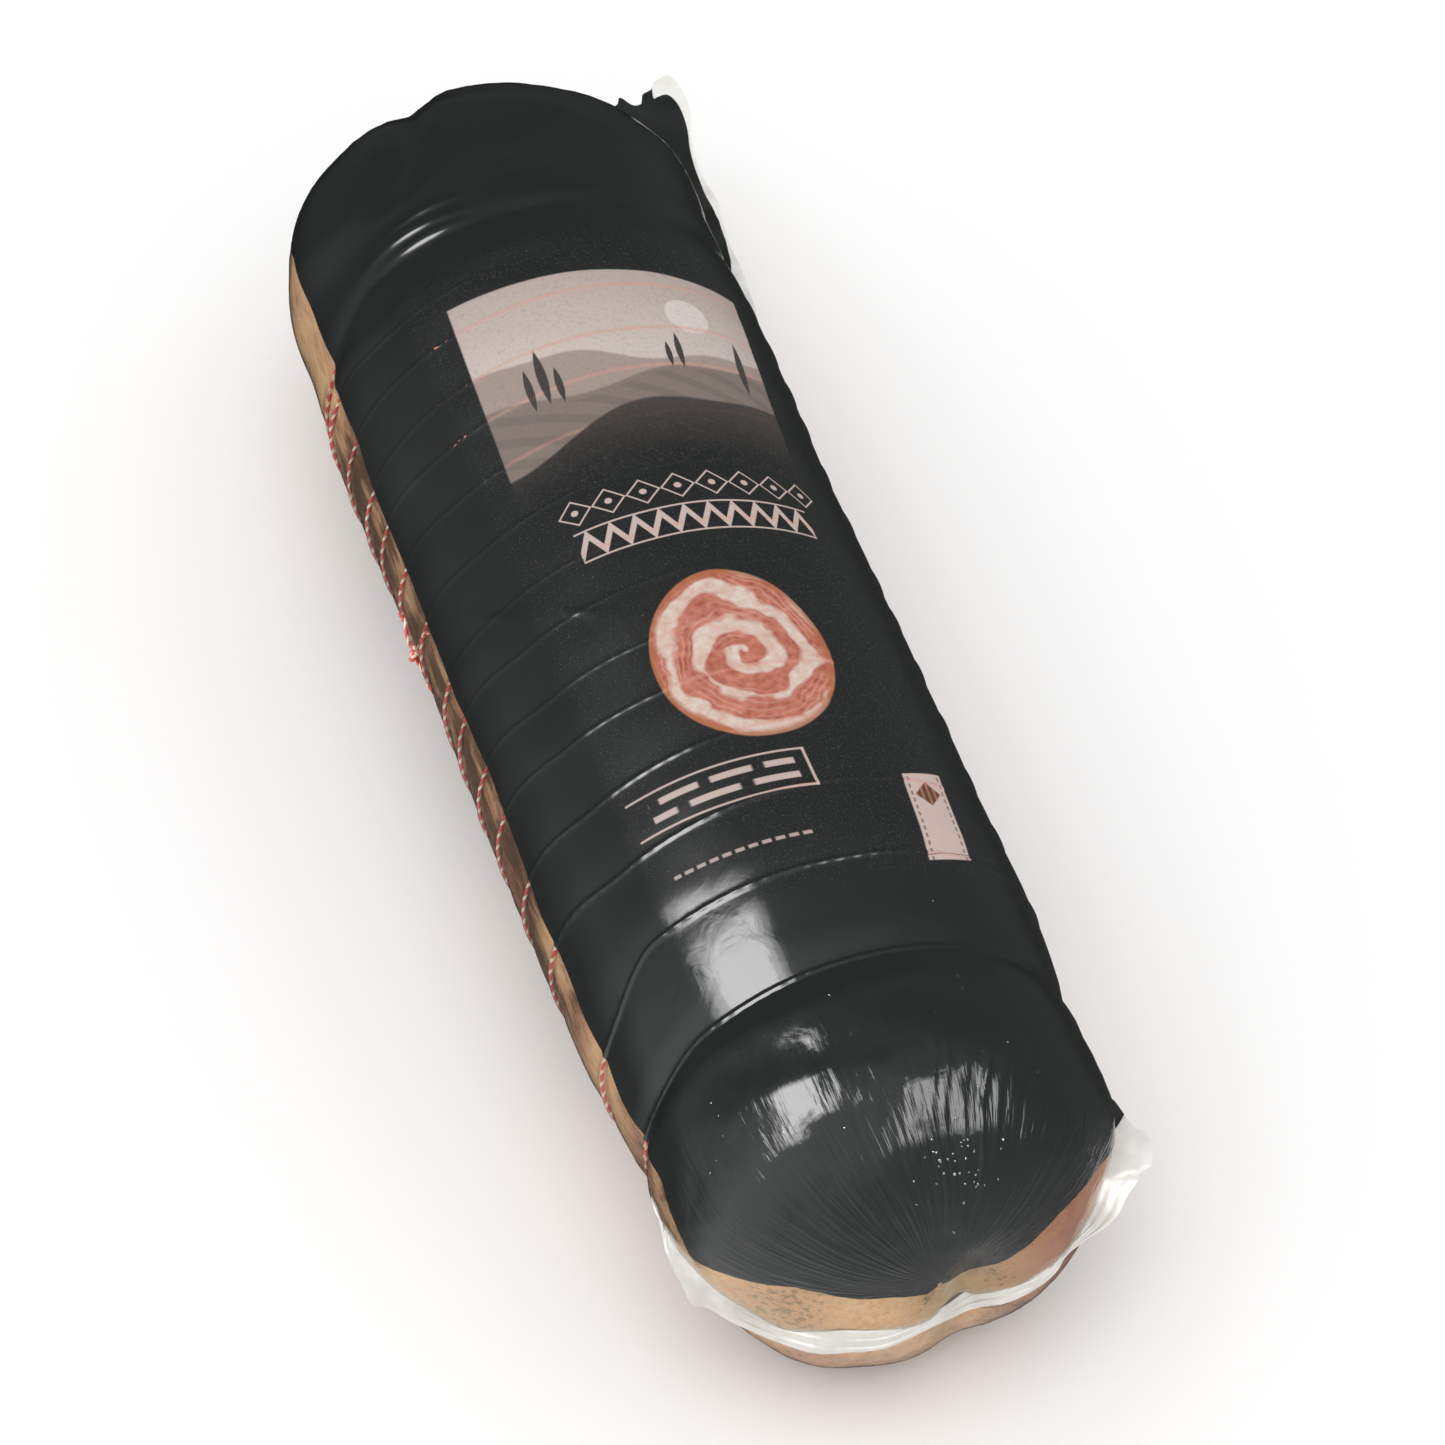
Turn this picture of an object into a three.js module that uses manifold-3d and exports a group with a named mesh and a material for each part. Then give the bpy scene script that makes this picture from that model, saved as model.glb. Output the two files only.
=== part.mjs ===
// A whole rolled pancetta, tied with butcher's twine and vacuum-packed in a shrink bag.
// The sealed bag is one solid: the drawn-in roll with its ridges over the twine, its lobed ends,
// and the heat-sealed fins that stand out at both ends. Millimetres, +Z up.
// The roll lies along Y, its far end towards +Y. While it is shaped, the zero of X and Z is on its axis.

import * as THREE from 'three';
import { mergeVertices } from 'three/addons/utils/BufferGeometryUtils.js';
import Module from 'manifold-3d';

// The roll
const HALF_WIDTH = 60.1;
const HEIGHT_SHARE = 0.92;
const REST_DEPTH = 51;
const NEAR_SHOULDER_Y = -160.5;
const NEAR_DOME_LENGTH = 39.5;
const NEAR_DOME_POWER = 2.44;
const FAR_SHOULDER_Y = 152.8;
const FAR_DOME_LENGTH = 60.4;
const FAR_DOME_POWER = 2.05;

// How the girth changes along the roll: a share of the half width, drawn in about a place on Y
const GIRTH_CHANGES = [
  { share: -0.012, y: 50, reach: 32 },
  { share: -0.032, y: 150, reach: 22 },
];
const NEAR_END_SHARE = -0.038;
const NEAR_END_FROM_Y = -98;
const NEAR_END_TO_Y = -134;

// How far the axis bends to the right towards each end
const NEAR_BEND = { shift: 1.3, fromY: -60, toY: -134 };
const FAR_BEND = { shift: 0.8, fromY: 100, toY: 190 };

// The twine's wraps: where each crosses the top of the roll, and how far it has drifted at the left flank
const WRAPS = [
  { y: -135, drift: -4 },
  { y: -106, drift: -9 },
  { y: -81.5, drift: 5 },
  { y: -60.5, drift: 5 },
  { y: -40, drift: 5 },
  { y: -22, drift: 5 },
  { y: -4, drift: 5 },
  { y: 12, drift: 2 },
  { y: 32, drift: 4 },
  { y: 52, drift: 3 },
  { y: 68.5, drift: 3 },
  { y: 83, drift: 0 },
  { y: 98.5, drift: 2 },
  { y: 115, drift: 3 },
  { y: 132, drift: -7 },
];
const TWINE_GROOVE_DEPTH = 1.7;
const TWINE_GROOVE_REACH = 5;
const TWINE_RIDGE_HEIGHT = 1.5;
const TWINE_RIDGE_REACH = 1.3;
const GROOVE_STEP = 2.6;
const WAIST_EXTRA_DEPTH = 1.2;
const DRIFT_STARTS_AT = 0.7;

// The valleys of the rolled belly's ends
const NEAR_VALLEY = { x: 11, reach: 8, depth: 6, fromY: -172, toY: -196, fromZ: 40, toZ: 5 };
const FAR_VALLEY = {
  start: [-12, 184], end: [-38, 157], reach: 7, depth: 3, fromY: 151, toY: 169, fromZ: 0, toZ: 30,
};
const NEAR_LEFT_LOBE = { centre: [-24, -190, -28], reach: 18, height: 2.4 };
const FAR_LEFT_LOBE = { centre: [-40, 178, 20], reach: 18, height: 1.2 };
const FAR_RIGHT_LOBE = { centre: [44, 172, 22], reach: 20, height: 2.6 };

// The heat-sealed fins, seen from above: the outer edge's points, from the left flank to the right one
const FIN_THICKNESS = 1.4;
const FIN_ROOT = 0.5;
const FIN_STEPS = 52;
const NEAR_FIN_CENTRE = [0, -140];
const NEAR_FIN_EDGE = [
  [-50, -132], [-56, -150], [-57.5, -163], [-56, -174], [-48, -184], [-37, -192], [-20, -200.5],
  [-4, -200.5], [8, -197.5], [23, -198], [37, -192.5], [50, -186], [62, -180.5], [67, -174], [65, -161],
  [60, -149], [50, -132],
];
const FAR_FIN_CENTRE = [0, 150];
const FAR_FIN_EDGE = [
  [-48, 150], [-51, 176], [-44, 200], [-24, 214], [0, 219], [28, 219.5], [54, 221], [64, 221.5],
  [70.5, 227], [73.5, 222], [71, 208], [68.5, 190], [67, 168], [65, 140], [61, 118], [50, 104],
];
const SEAM_MIDDLE_Z = -20.5;
const SEAM_RISE = 12;
const SEAM_RISE_AT_X = 50;
const SEAM_LEAN = 0.08;
const SEAM_TOP_Z = -4;
const FIN_DROOP = 3;
const CRINKLE_HEIGHT = 0.9;
const CRINKLE_LENGTH = 9;

// The grid that the roll is drawn on
const SECTION_STEPS = 52;
const NEAR_DOME_ROWS = 10;
const FAR_DOME_ROWS = 12;

const bell = (distance, reach) => Math.exp(-((distance / reach) ** 2));

function smoothStep(value, from, to) {
  const t = THREE.MathUtils.clamp((value - from) / (to - from), 0, 1);
  return t * t * (3 - 2 * t);
}

// Share of the half width at a place along the roll
function girthAt(y) {
  let share = 1 + NEAR_END_SHARE * smoothStep(y, NEAR_END_FROM_Y, NEAR_END_TO_Y);
  for (const change of GIRTH_CHANGES) {
    share += change.share * bell(y - change.y, change.reach);
  }
  return share;
}

// The axis's place across the roll: it bends a little to the right at both ends
function axisAt(y) {
  return [NEAR_BEND, FAR_BEND].reduce((sum, bend) => sum + bend.shift * smoothStep(y, bend.fromY, bend.toY), 0);
}

// 0 on top and at the right, 1 at the left flank
const leftShare = (angle) => smoothStep(-Math.cos(angle), DRIFT_STARTS_AT, 1);

// The depth that the twine presses in, less the ridge of the strand itself
function twineRelief(y, angle) {
  let height = 0;
  for (const wrap of WRAPS) {
    const distance = y - wrap.y - wrap.drift * leftShare(angle);
    const extra = wrap === WRAPS[0] ? WAIST_EXTRA_DEPTH : 0;
    height -= (TWINE_GROOVE_DEPTH + extra) * bell(distance, TWINE_GROOVE_REACH);
    height += TWINE_RIDGE_HEIGHT * bell(distance, TWINE_RIDGE_REACH);
  }
  return height;
}

// Distance in plan from the line that the far valley runs along
function farValleyDistance(x, y) {
  const [ax, ay] = FAR_VALLEY.start;
  const [bx, by] = FAR_VALLEY.end;
  const length = Math.hypot(bx - ax, by - ay);
  return ((x - ax) * (by - ay) - (y - ay) * (bx - ax)) / length;
}

const lobeRise = (lobe, point) =>
  lobe.height * bell(point.distanceTo(new THREE.Vector3(...lobe.centre)), lobe.reach);

// Valleys and lobes of the two ends, as height over the plain dome
function endRelief(point) {
  const nearShare = smoothStep(point.y, NEAR_VALLEY.fromY, NEAR_VALLEY.toY)
    * smoothStep(point.z, NEAR_VALLEY.fromZ, NEAR_VALLEY.toZ);
  let height = -NEAR_VALLEY.depth * nearShare * bell(point.x - NEAR_VALLEY.x, NEAR_VALLEY.reach);
  const farShare = smoothStep(point.y, FAR_VALLEY.fromY, FAR_VALLEY.toY)
    * smoothStep(point.z, FAR_VALLEY.fromZ, FAR_VALLEY.toZ);
  height -= FAR_VALLEY.depth * farShare * bell(farValleyDistance(point.x, point.y), FAR_VALLEY.reach);
  for (const lobe of [NEAR_LEFT_LOBE, FAR_LEFT_LOBE, FAR_RIGHT_LOBE]) {
    height += lobeRise(lobe, point);
  }
  return height;
}

// Rows of the grid from the near pole to the far one: place on Y, and share of the section's radius
function rollRows() {
  const rows = [];
  for (let i = 1; i <= NEAR_DOME_ROWS; i += 1) {
    const turn = (Math.PI / 2) * (i / NEAR_DOME_ROWS);
    rows.push({
      y: NEAR_SHOULDER_Y - NEAR_DOME_LENGTH * Math.cos(turn) ** (2 / NEAR_DOME_POWER),
      radius: Math.sin(turn) ** (2 / NEAR_DOME_POWER),
    });
  }
  WRAPS.forEach((wrap, index) => {
    const before = index > 0 ? WRAPS[index - 1].y : NEAR_SHOULDER_Y + GROOVE_STEP;
    rows.push({ y: (before + wrap.y) / 2, radius: 1, between: index });
    for (const step of [-GROOVE_STEP, 0, GROOVE_STEP]) {
      rows.push({ y: wrap.y + step, radius: 1, wrap });
    }
  });
  for (let i = FAR_DOME_ROWS; i >= 1; i -= 1) {
    const turn = (Math.PI / 2) * (i / FAR_DOME_ROWS);
    rows.push({
      y: FAR_SHOULDER_Y + FAR_DOME_LENGTH * Math.cos(turn) ** (2 / FAR_DOME_POWER),
      radius: Math.sin(turn) ** (2 / FAR_DOME_POWER),
    });
  }
  return rows;
}

// How far a row drifts along Y at the left flank: as its wrap does, or half-way between two wraps
function rowDrift(row) {
  if (row.wrap) return row.wrap.drift;
  if (row.between === undefined) return 0;
  const before = row.between > 0 ? WRAPS[row.between - 1].drift : 0;
  return (before + WRAPS[row.between].drift) / 2;
}

function rollPoint(row, angle) {
  const y = row.y + rowDrift(row) * leftShare(angle);
  const radius = HALF_WIDTH * girthAt(y) * row.radius;
  const point = new THREE.Vector3(
    axisAt(y) + radius * Math.cos(angle),
    y,
    radius * HEIGHT_SHARE * Math.sin(angle),
  );
  const outward = new THREE.Vector3(
    Math.cos(angle) * row.radius,
    domeLean(row),
    Math.sin(angle) * row.radius,
  ).normalize();
  const twine = row.radius < 1 ? 0 : twineRelief(y, angle);
  point.addScaledVector(outward, twine + endRelief(point));
  point.z = Math.max(point.z, -REST_DEPTH);
  return point;
}

// The share of a dome's outward direction that points along Y
function domeLean(row) {
  const share = Math.sqrt(Math.max(0, 1 - row.radius ** 2));
  return row.y < 0 ? -share : share;
}

// A closed mesh from rings of points, each ring with the same count, capped by a point at both ends
function loftBetweenPoles(rings, firstPole, lastPole) {
  const ringSize = rings[0].length;
  const points = [firstPole, ...rings.flat(), lastPole];
  const last = points.length - 1;
  const faces = [];
  const at = (ring, step) => 1 + ring * ringSize + (step % ringSize);
  for (let step = 0; step < ringSize; step += 1) {
    faces.push(0, at(0, step), at(0, step + 1));
    faces.push(last, at(rings.length - 1, step + 1), at(rings.length - 1, step));
    for (let ring = 0; ring < rings.length - 1; ring += 1) {
      faces.push(at(ring, step), at(ring + 1, step), at(ring + 1, step + 1));
      faces.push(at(ring, step), at(ring + 1, step + 1), at(ring, step + 1));
    }
  }
  const geometry = new THREE.BufferGeometry();
  const places = points.flatMap((p) => p.toArray());
  geometry.setAttribute('position', new THREE.Float32BufferAttribute(places, 3));
  geometry.setIndex(faces);
  return geometry;
}

function rollGeometry() {
  const rings = rollRows().map((row) => {
    const ring = [];
    for (let step = 0; step < SECTION_STEPS; step += 1) {
      ring.push(rollPoint(row, (2 * Math.PI * step) / SECTION_STEPS));
    }
    return ring;
  });
  const nearPole = new THREE.Vector3(0, NEAR_SHOULDER_Y - NEAR_DOME_LENGTH, 0);
  const farPole = new THREE.Vector3(0, FAR_SHOULDER_Y + FAR_DOME_LENGTH, 0);
  nearPole.y -= endRelief(nearPole);
  farPole.y += endRelief(farPole);
  return loftBetweenPoles(rings, nearPole, farPole);
}

// Height of the seam at a place across the roll: lowest in the middle, higher at the two corners
function seamHeight(x) {
  const rise = SEAM_MIDDLE_Z + SEAM_RISE * (x / SEAM_RISE_AT_X) ** 2 + SEAM_LEAN * x;
  return Math.min(rise, SEAM_TOP_Z);
}

const middleOf = (ring) =>
  ring.reduce((sum, point) => sum.add(point), new THREE.Vector3()).divideScalar(ring.length);

// A fin: a thin closed strip from inside the roll out to its crinkled, slightly drooping edge
function finGeometry(edge, centre) {
  const points = edge.map(([x, y]) => new THREE.Vector3(x, y, 0));
  const curve = new THREE.CatmullRomCurve3(points, false, 'centripetal');
  const rings = [];
  for (let step = 0; step <= FIN_STEPS; step += 1) {
    const along = step / FIN_STEPS;
    const outer = curve.getPointAt(along);
    const root = new THREE.Vector3(centre[0], centre[1], 0).lerp(outer, FIN_ROOT);
    const wave = CRINKLE_HEIGHT * Math.sin((2 * Math.PI * along * curve.getLength()) / CRINKLE_LENGTH);
    const high = seamHeight(outer.x);
    root.z = high;
    outer.z = high - FIN_DROOP + wave;
    const raise = new THREE.Vector3(0, 0, FIN_THICKNESS / 2);
    rings.push([
      root.clone().sub(raise),
      outer.clone().sub(raise),
      outer.clone().add(raise),
      root.clone().add(raise),
    ]);
  }
  return loftBetweenPoles(rings, middleOf(rings[0]), middleOf(rings[rings.length - 1]));
}

// A closed geometry as a solid that can be joined, its faces turned outward if they aren't
function toSolid(wasm, geometry) {
  const merged = mergeVertices(geometry, 1e-4);
  const positions = new Float32Array(merged.attributes.position.array);
  const triangles = new Uint32Array(merged.index.array);
  if (signedVolume(positions, triangles) < 0) {
    for (let i = 0; i < triangles.length; i += 3) {
      [triangles[i], triangles[i + 1]] = [triangles[i + 1], triangles[i]];
    }
  }
  return new wasm.Manifold(new wasm.Mesh({ numProp: 3, vertProperties: positions, triVerts: triangles }));
}

function signedVolume(positions, triangles) {
  const [a, b, c] = [new THREE.Vector3(), new THREE.Vector3(), new THREE.Vector3()];
  let sum = 0;
  for (let i = 0; i < triangles.length; i += 3) {
    a.fromArray(positions, 3 * triangles[i]);
    b.fromArray(positions, 3 * triangles[i + 1]);
    c.fromArray(positions, 3 * triangles[i + 2]);
    sum += a.dot(b.cross(c)) / 6;
  }
  return sum;
}

function fromSolid(solid) {
  const mesh = solid.getMesh();
  const geometry = new THREE.BufferGeometry();
  geometry.setAttribute('position', new THREE.Float32BufferAttribute(mesh.vertProperties, 3));
  geometry.setIndex(Array.from(mesh.triVerts));
  return geometry;
}

// Puts the zero at the middle of the bag's outline on the surface that it lies on
function centreOnRest(geometry) {
  geometry.computeBoundingBox();
  const { min, max } = geometry.boundingBox;
  geometry.translate(-(min.x + max.x) / 2, -(min.y + max.y) / 2, -min.z);
  geometry.computeVertexNormals();
  return geometry;
}

const wasm = await Module();
wasm.setup();

const bagSolid = toSolid(wasm, rollGeometry())
  .add(toSolid(wasm, finGeometry(NEAR_FIN_EDGE, NEAR_FIN_CENTRE)))
  .add(toSolid(wasm, finGeometry(FAR_FIN_EDGE, FAR_FIN_CENTRE)));

const vacuumBag = new THREE.Mesh(
  centreOnRest(fromSolid(bagSolid)),
  new THREE.MeshStandardMaterial({ color: 0x2b2e2e, roughness: 0.25, metalness: 0 }),
);
vacuumBag.name = 'vacuum_bag';

const pancetta = new THREE.Group();
pancetta.add(vacuumBag);

export default pancetta;
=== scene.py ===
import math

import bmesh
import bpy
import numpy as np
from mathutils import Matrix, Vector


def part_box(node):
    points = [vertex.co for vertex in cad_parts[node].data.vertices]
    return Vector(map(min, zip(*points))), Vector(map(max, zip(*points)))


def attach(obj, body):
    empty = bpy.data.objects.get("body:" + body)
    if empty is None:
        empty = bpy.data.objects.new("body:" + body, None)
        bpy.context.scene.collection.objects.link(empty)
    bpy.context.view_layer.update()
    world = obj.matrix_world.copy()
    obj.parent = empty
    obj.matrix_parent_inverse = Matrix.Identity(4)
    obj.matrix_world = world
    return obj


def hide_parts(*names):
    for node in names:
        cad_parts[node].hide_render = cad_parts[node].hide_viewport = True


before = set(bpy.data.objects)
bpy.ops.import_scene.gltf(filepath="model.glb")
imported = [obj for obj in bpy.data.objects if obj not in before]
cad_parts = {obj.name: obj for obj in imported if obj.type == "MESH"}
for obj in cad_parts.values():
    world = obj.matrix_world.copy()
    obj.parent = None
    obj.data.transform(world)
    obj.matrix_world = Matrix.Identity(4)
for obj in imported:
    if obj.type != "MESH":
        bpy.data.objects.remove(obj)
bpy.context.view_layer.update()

# %% [markdown]
# # A rolled pancetta in its shrink bag
#
# The real thing is a pork belly that was rolled up, tied with red and white butcher's twine, cooked and
# sealed under vacuum in a printed shrink bag. Nearly all that shows is film: a black glossy print on the
# front, clear film with meat and twine behind it on the other side, and milky sealed edges at both ends.
#
# This file builds those layers one over another, from the inside out: meat, twine, clear film, printed
# film, seals, water drops. Each is a surface worked out with numpy from the same shape of the roll, so the
# layers fit each other to a fraction of a millimetre.

# %% [markdown]
# ## Where the roll lies
#
# Shapes are easiest to describe from the roll's own axis, in millimetres: x to the right, y along the roll
# towards its far end, z up. One function at the end moves every point into the frame and to metres. The
# axis isn't in the middle of the frame, because the bag's far ear stands out to the right.

# %% The roll's axis in the frame
MM = 0.001
AXIS_FROM_RIGHT = 73.586
AXIS_FROM_FAR_END = 226.562
AXIS_HEIGHT = 51.0
BAG_LOW, BAG_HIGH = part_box("vacuum_bag")
AXIS_PLACE = np.array([
    BAG_HIGH.x - AXIS_FROM_RIGHT * MM,
    BAG_HIGH.y - AXIS_FROM_FAR_END * MM,
    BAG_LOW.z + AXIS_HEIGHT * MM,
])


def to_frame(points):
    """Millimetres from the roll's axis to metres in the frame: a thousandth of each, plus the axis's
    place."""
    return np.asarray(points, float) * MM + AXIS_PLACE


print("axis in the frame, millimetres:", np.round(AXIS_PLACE / MM, 2))

# %% [markdown]
# ## The camera
#
# The camera comes early, because it says what will be seen. The photograph was taken from far off with a
# long lens, looking down at 49 degrees, with the roll turned 18 degrees from the line of sight. The frame's
# middle isn't on the roll's middle, so the camera is turned a third of a degree, which keeps its shift at
# nought and leaves the other views alone. Its axes are worked out as vectors instead of angles: no Euler
# order to remember, and no roll creeps in.

# %% Camera at the photograph's viewing angle
FRAME_PIXELS = 1445.0
SENSOR_MM = 36.0
FOCAL_PIXELS = 7680.0
AIM_PIXEL = (680.0, 700.0)
CAMERA_DISTANCE = 2000.0
CAMERA_ELEVATION = math.radians(49.0)
CAMERA_TURN = math.radians(18.19)


def photo_axes():
    """Right, up and forward of a camera that looks down at the roll, before the frame is centred."""
    right = np.array([math.cos(CAMERA_TURN), -math.sin(CAMERA_TURN), 0.0])
    level = np.array([math.sin(CAMERA_TURN), math.cos(CAMERA_TURN), 0.0])
    lift = np.array([0.0, 0.0, 1.0])
    forward = level * math.cos(CAMERA_ELEVATION) - lift * math.sin(CAMERA_ELEVATION)
    up = level * math.sin(CAMERA_ELEVATION) + lift * math.cos(CAMERA_ELEVATION)
    return right, up, forward


def camera_matrix():
    """The camera's place and axes: forward leans by the aim's offset over the focal length, then right and
    up are made square to it again."""
    right, up, forward = photo_axes()
    place = to_frame(-CAMERA_DISTANCE * forward)
    half = FRAME_PIXELS / 2
    lean_right = (half - AIM_PIXEL[0]) / FOCAL_PIXELS
    lean_down = (half - AIM_PIXEL[1]) / FOCAL_PIXELS
    look = forward + right * lean_right - up * lean_down
    look /= np.linalg.norm(look)
    side = right - look * (right @ look)
    side /= np.linalg.norm(side)
    matrix = np.eye(4)
    matrix[:3, 0] = side
    matrix[:3, 1] = np.cross(side, look)
    matrix[:3, 2] = -look
    matrix[:3, 3] = place
    return Matrix(matrix.tolist())


camera_data = bpy.data.cameras.new("camera")
camera_data.sensor_width = SENSOR_MM
camera_data.lens = SENSOR_MM * FOCAL_PIXELS / FRAME_PIXELS
camera = bpy.data.objects.new("camera", camera_data)
camera.matrix_world = camera_matrix()
bpy.context.scene.collection.objects.link(camera)
bpy.context.scene.camera = camera
print("lens:", round(camera_data.lens, 1), "mm")

# %% [markdown]
# ## The roll's shape
#
# A roll like this could be sculpted, or made from a cylinder with modifiers. A formula does it better here,
# because four layers need the very same shape at slightly different heights. The section is an ellipse a
# little lower than it is wide. Its size stays the same along the body and falls to nothing at both ends
# along a superellipse, which is a dome with a flatter face than a ball's.

# %% Named sizes of the roll, millimetres
HALF_WIDTH = 60.1
HEIGHT_SHARE = 0.92
NEAR_SHOULDER = -160.5
NEAR_DOME = 39.5
NEAR_POWER = 2.44
FAR_SHOULDER = 152.8
FAR_DOME = 60.4
FAR_POWER = 2.05
NEAR_NARROWING = 0.038
WAISTS = [(50, 32, 0.012), (150, 22, 0.032)]
WRAPS = np.array([-135, -106, -81.5, -60.5, -40, -22, -4, 12, 32, 52, 68.5, 83, 98.5, 115, 132], float)
WRAP_DRIFTS = np.array([-4, -9, 5, 5, 5, 5, 5, 2, 4, 3, 3, 0, 2, 3, -7], float)
SEED = 7


def smooth_step(value, start, end):
    """Nought up to start and one from end on; between them, three times the share's square less twice its
    cube."""
    share = np.clip((value - start) / (end - start), 0, 1)
    return share * share * (3 - 2 * share)


def bell(distance, reach):
    """One at no distance, falling as e to the power of minus the square of distance over reach."""
    return np.exp(-((distance / reach) ** 2))


def dome_share(y):
    """Share of the section that is left at y. On each dome, the share to the dome's power and the way out to
    the same power add up to one."""
    near = np.clip((NEAR_SHOULDER - y) / NEAR_DOME, 0, 1)
    far = np.clip((y - FAR_SHOULDER) / FAR_DOME, 0, 1)
    near_share = (1 - near**NEAR_POWER) ** (1 / NEAR_POWER)
    return near_share * (1 - far**FAR_POWER) ** (1 / FAR_POWER)


def girth(y):
    """Share of the full half width: 3.8% less at the near end, with two shallow waists further on, each a
    bell."""
    share = 1 - NEAR_NARROWING * smooth_step(y, -98, -134)
    for place, reach, depth in WAISTS:
        share = share - depth * bell(y - place, reach)
    return share


def bend(y):
    """How far the axis has bent to the right: 1.3 mm at the near end and 0.8 mm at the far one."""
    return 1.3 * smooth_step(y, -60, -134) + 0.8 * smooth_step(y, 100, 190)


# %% [markdown]
# ## Twine drift
#
# The twine doesn't run round square to the roll. Each wrap drifts a few millimetres along the left flank and
# wanders a little everywhere. Where a wrap goes, the grid's rows go too, so that the narrow ridges always
# fall on rows that are close together. The trick is to give each point a nominal place along the roll and
# then shift it: the shift is known at each wrap, and is blended in a straight line between two wraps.

# %% Rows that follow the wraps
WANDER = 0.7
LEFT_FLANK_FROM = 0.7
anchor_places = np.concatenate([[NEAR_SHOULDER], WRAPS, [FAR_SHOULDER]])
wander_phases = np.random.default_rng(SEED).uniform(0, 2 * math.pi, (len(WRAPS), 2))


def wrap_shift(turn):
    """Each wrap's shift along the roll at an angle: its drift times a smooth step that rises at the left
    flank, plus two slow sine waves round the roll."""
    left = smooth_step(-np.cos(turn), LEFT_FLANK_FROM, 1)
    drift = np.multiply.outer(WRAP_DRIFTS, left)
    phase = wander_phases.reshape(len(WRAPS), 2, *(1,) * np.ndim(turn))
    waves = np.sin(turn + phase[:, 0]) + 0.6 * np.sin(2 * turn + phase[:, 1])
    return drift + WANDER * waves


def shift_along(along, turn):
    """The shift of points between wraps: the sum of each wrap's shift times a tent that is one at that wrap
    and nought at its neighbours."""
    shifts = wrap_shift(turn)
    total = np.zeros(np.shape(along))
    for index in range(len(WRAPS)):
        tent = np.zeros(len(anchor_places))
        tent[index + 1] = 1
        total += np.interp(along, anchor_places, tent) * shifts[index]
    return total


# %% [markdown]
# ## Lobes and valleys of the two ends
#
# The end of a rolled belly is never a clean dome: the meat's layers end in lobes, and the film is drawn into
# the valley between them, and in again where the ears of the bag pull at it. These are low bells, added
# along the direction that points outward, or inward where their height is less than nought.

# %% Relief of the ends
LOBES = [
    ((-24, -190, -28), 18, 2.4), ((-40, 178, 20), 18, 1.2), ((44, 172, 22), 20, 1.8),
    ((50, -182, -8), 19, -2.6), ((-43, -184, -14), 17, -4.4),
]
NEAR_VALLEY_X = 11
NEAR_VALLEY_REACH, NEAR_VALLEY_DEPTH = 8, 6
FAR_VALLEY_REACH, FAR_VALLEY_DEPTH = 6, 3
FAR_VALLEY_START = np.array([-16.0, 192.0])
FAR_VALLEY_END = np.array([-31.0, 155.0])


def line_distance(x, y, start, end):
    """Distance in plan from the line through start and end: the cross product of the way from start and the
    line's direction, over the line's length."""
    way = end - start
    return ((x - start[0]) * way[1] - (y - start[1]) * way[0]) / np.hypot(*way)


def end_relief(x, y, z):
    """Millimetres over the plain dome: a valley in the near end's face, one across the far shoulder, and a
    bell for each lobe."""
    near_face = smooth_step(y, -172, -196) * smooth_step(z, 14, -10) * (0.4 + 0.6 * smooth_step(z, -40, -22))
    relief = -NEAR_VALLEY_DEPTH * near_face * bell(x - NEAR_VALLEY_X, NEAR_VALLEY_REACH)
    far_face = smooth_step(y, 151, 169) * smooth_step(z, 0, 30)
    from_valley = line_distance(x, y, FAR_VALLEY_START, FAR_VALLEY_END)
    relief -= FAR_VALLEY_DEPTH * far_face * bell(from_valley, FAR_VALLEY_REACH)
    for (lobe_x, lobe_y, lobe_z), reach, height in LOBES:
        away = np.sqrt((x - lobe_x) ** 2 + (y - lobe_y) ** 2 + (z - lobe_z) ** 2)
        relief += height * bell(away, reach)
    return relief


# %% One function for every layer
def roll_points(along, turn, lift=0.0, rest_gap=0.0):
    """Points on the roll at a nominal place along it and an angle round it, which is 0 at the right and a
    quarter turn on top. An ellipse of the section's size, pushed outward by the ends' relief and by lift.
    Nothing goes below the flat that the roll lies on, less rest_gap."""
    along, turn = np.broadcast_arrays(np.asarray(along, float), np.asarray(turn, float))
    share = dome_share(along)
    y = along + shift_along(along, turn)
    radius = HALF_WIDTH * girth(y) * share
    points = np.stack([
        bend(y) + radius * np.cos(turn),
        y,
        radius * HEIGHT_SHARE * np.sin(turn),
    ], axis=-1)
    lean = np.sign(y) * np.sqrt(np.clip(1 - share**2, 0, 1))
    outward = np.stack([np.cos(turn) * share, lean, np.sin(turn) * share], axis=-1)
    outward /= np.linalg.norm(outward, axis=-1, keepdims=True)
    height = end_relief(*np.moveaxis(points, -1, 0)) + lift
    points = points + outward * np.asarray(height)[..., None]
    points[..., 2] = np.maximum(points[..., 2], rest_gap - AXIS_HEIGHT)
    return points


# %% [markdown]
# ## Noise without images
#
# Meat and film need soft irregular bumps in the mesh itself. A sum of plane waves with random directions is
# the simplest smooth noise that numpy can do on whole arrays, and a seed makes it the same on each run.

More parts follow.
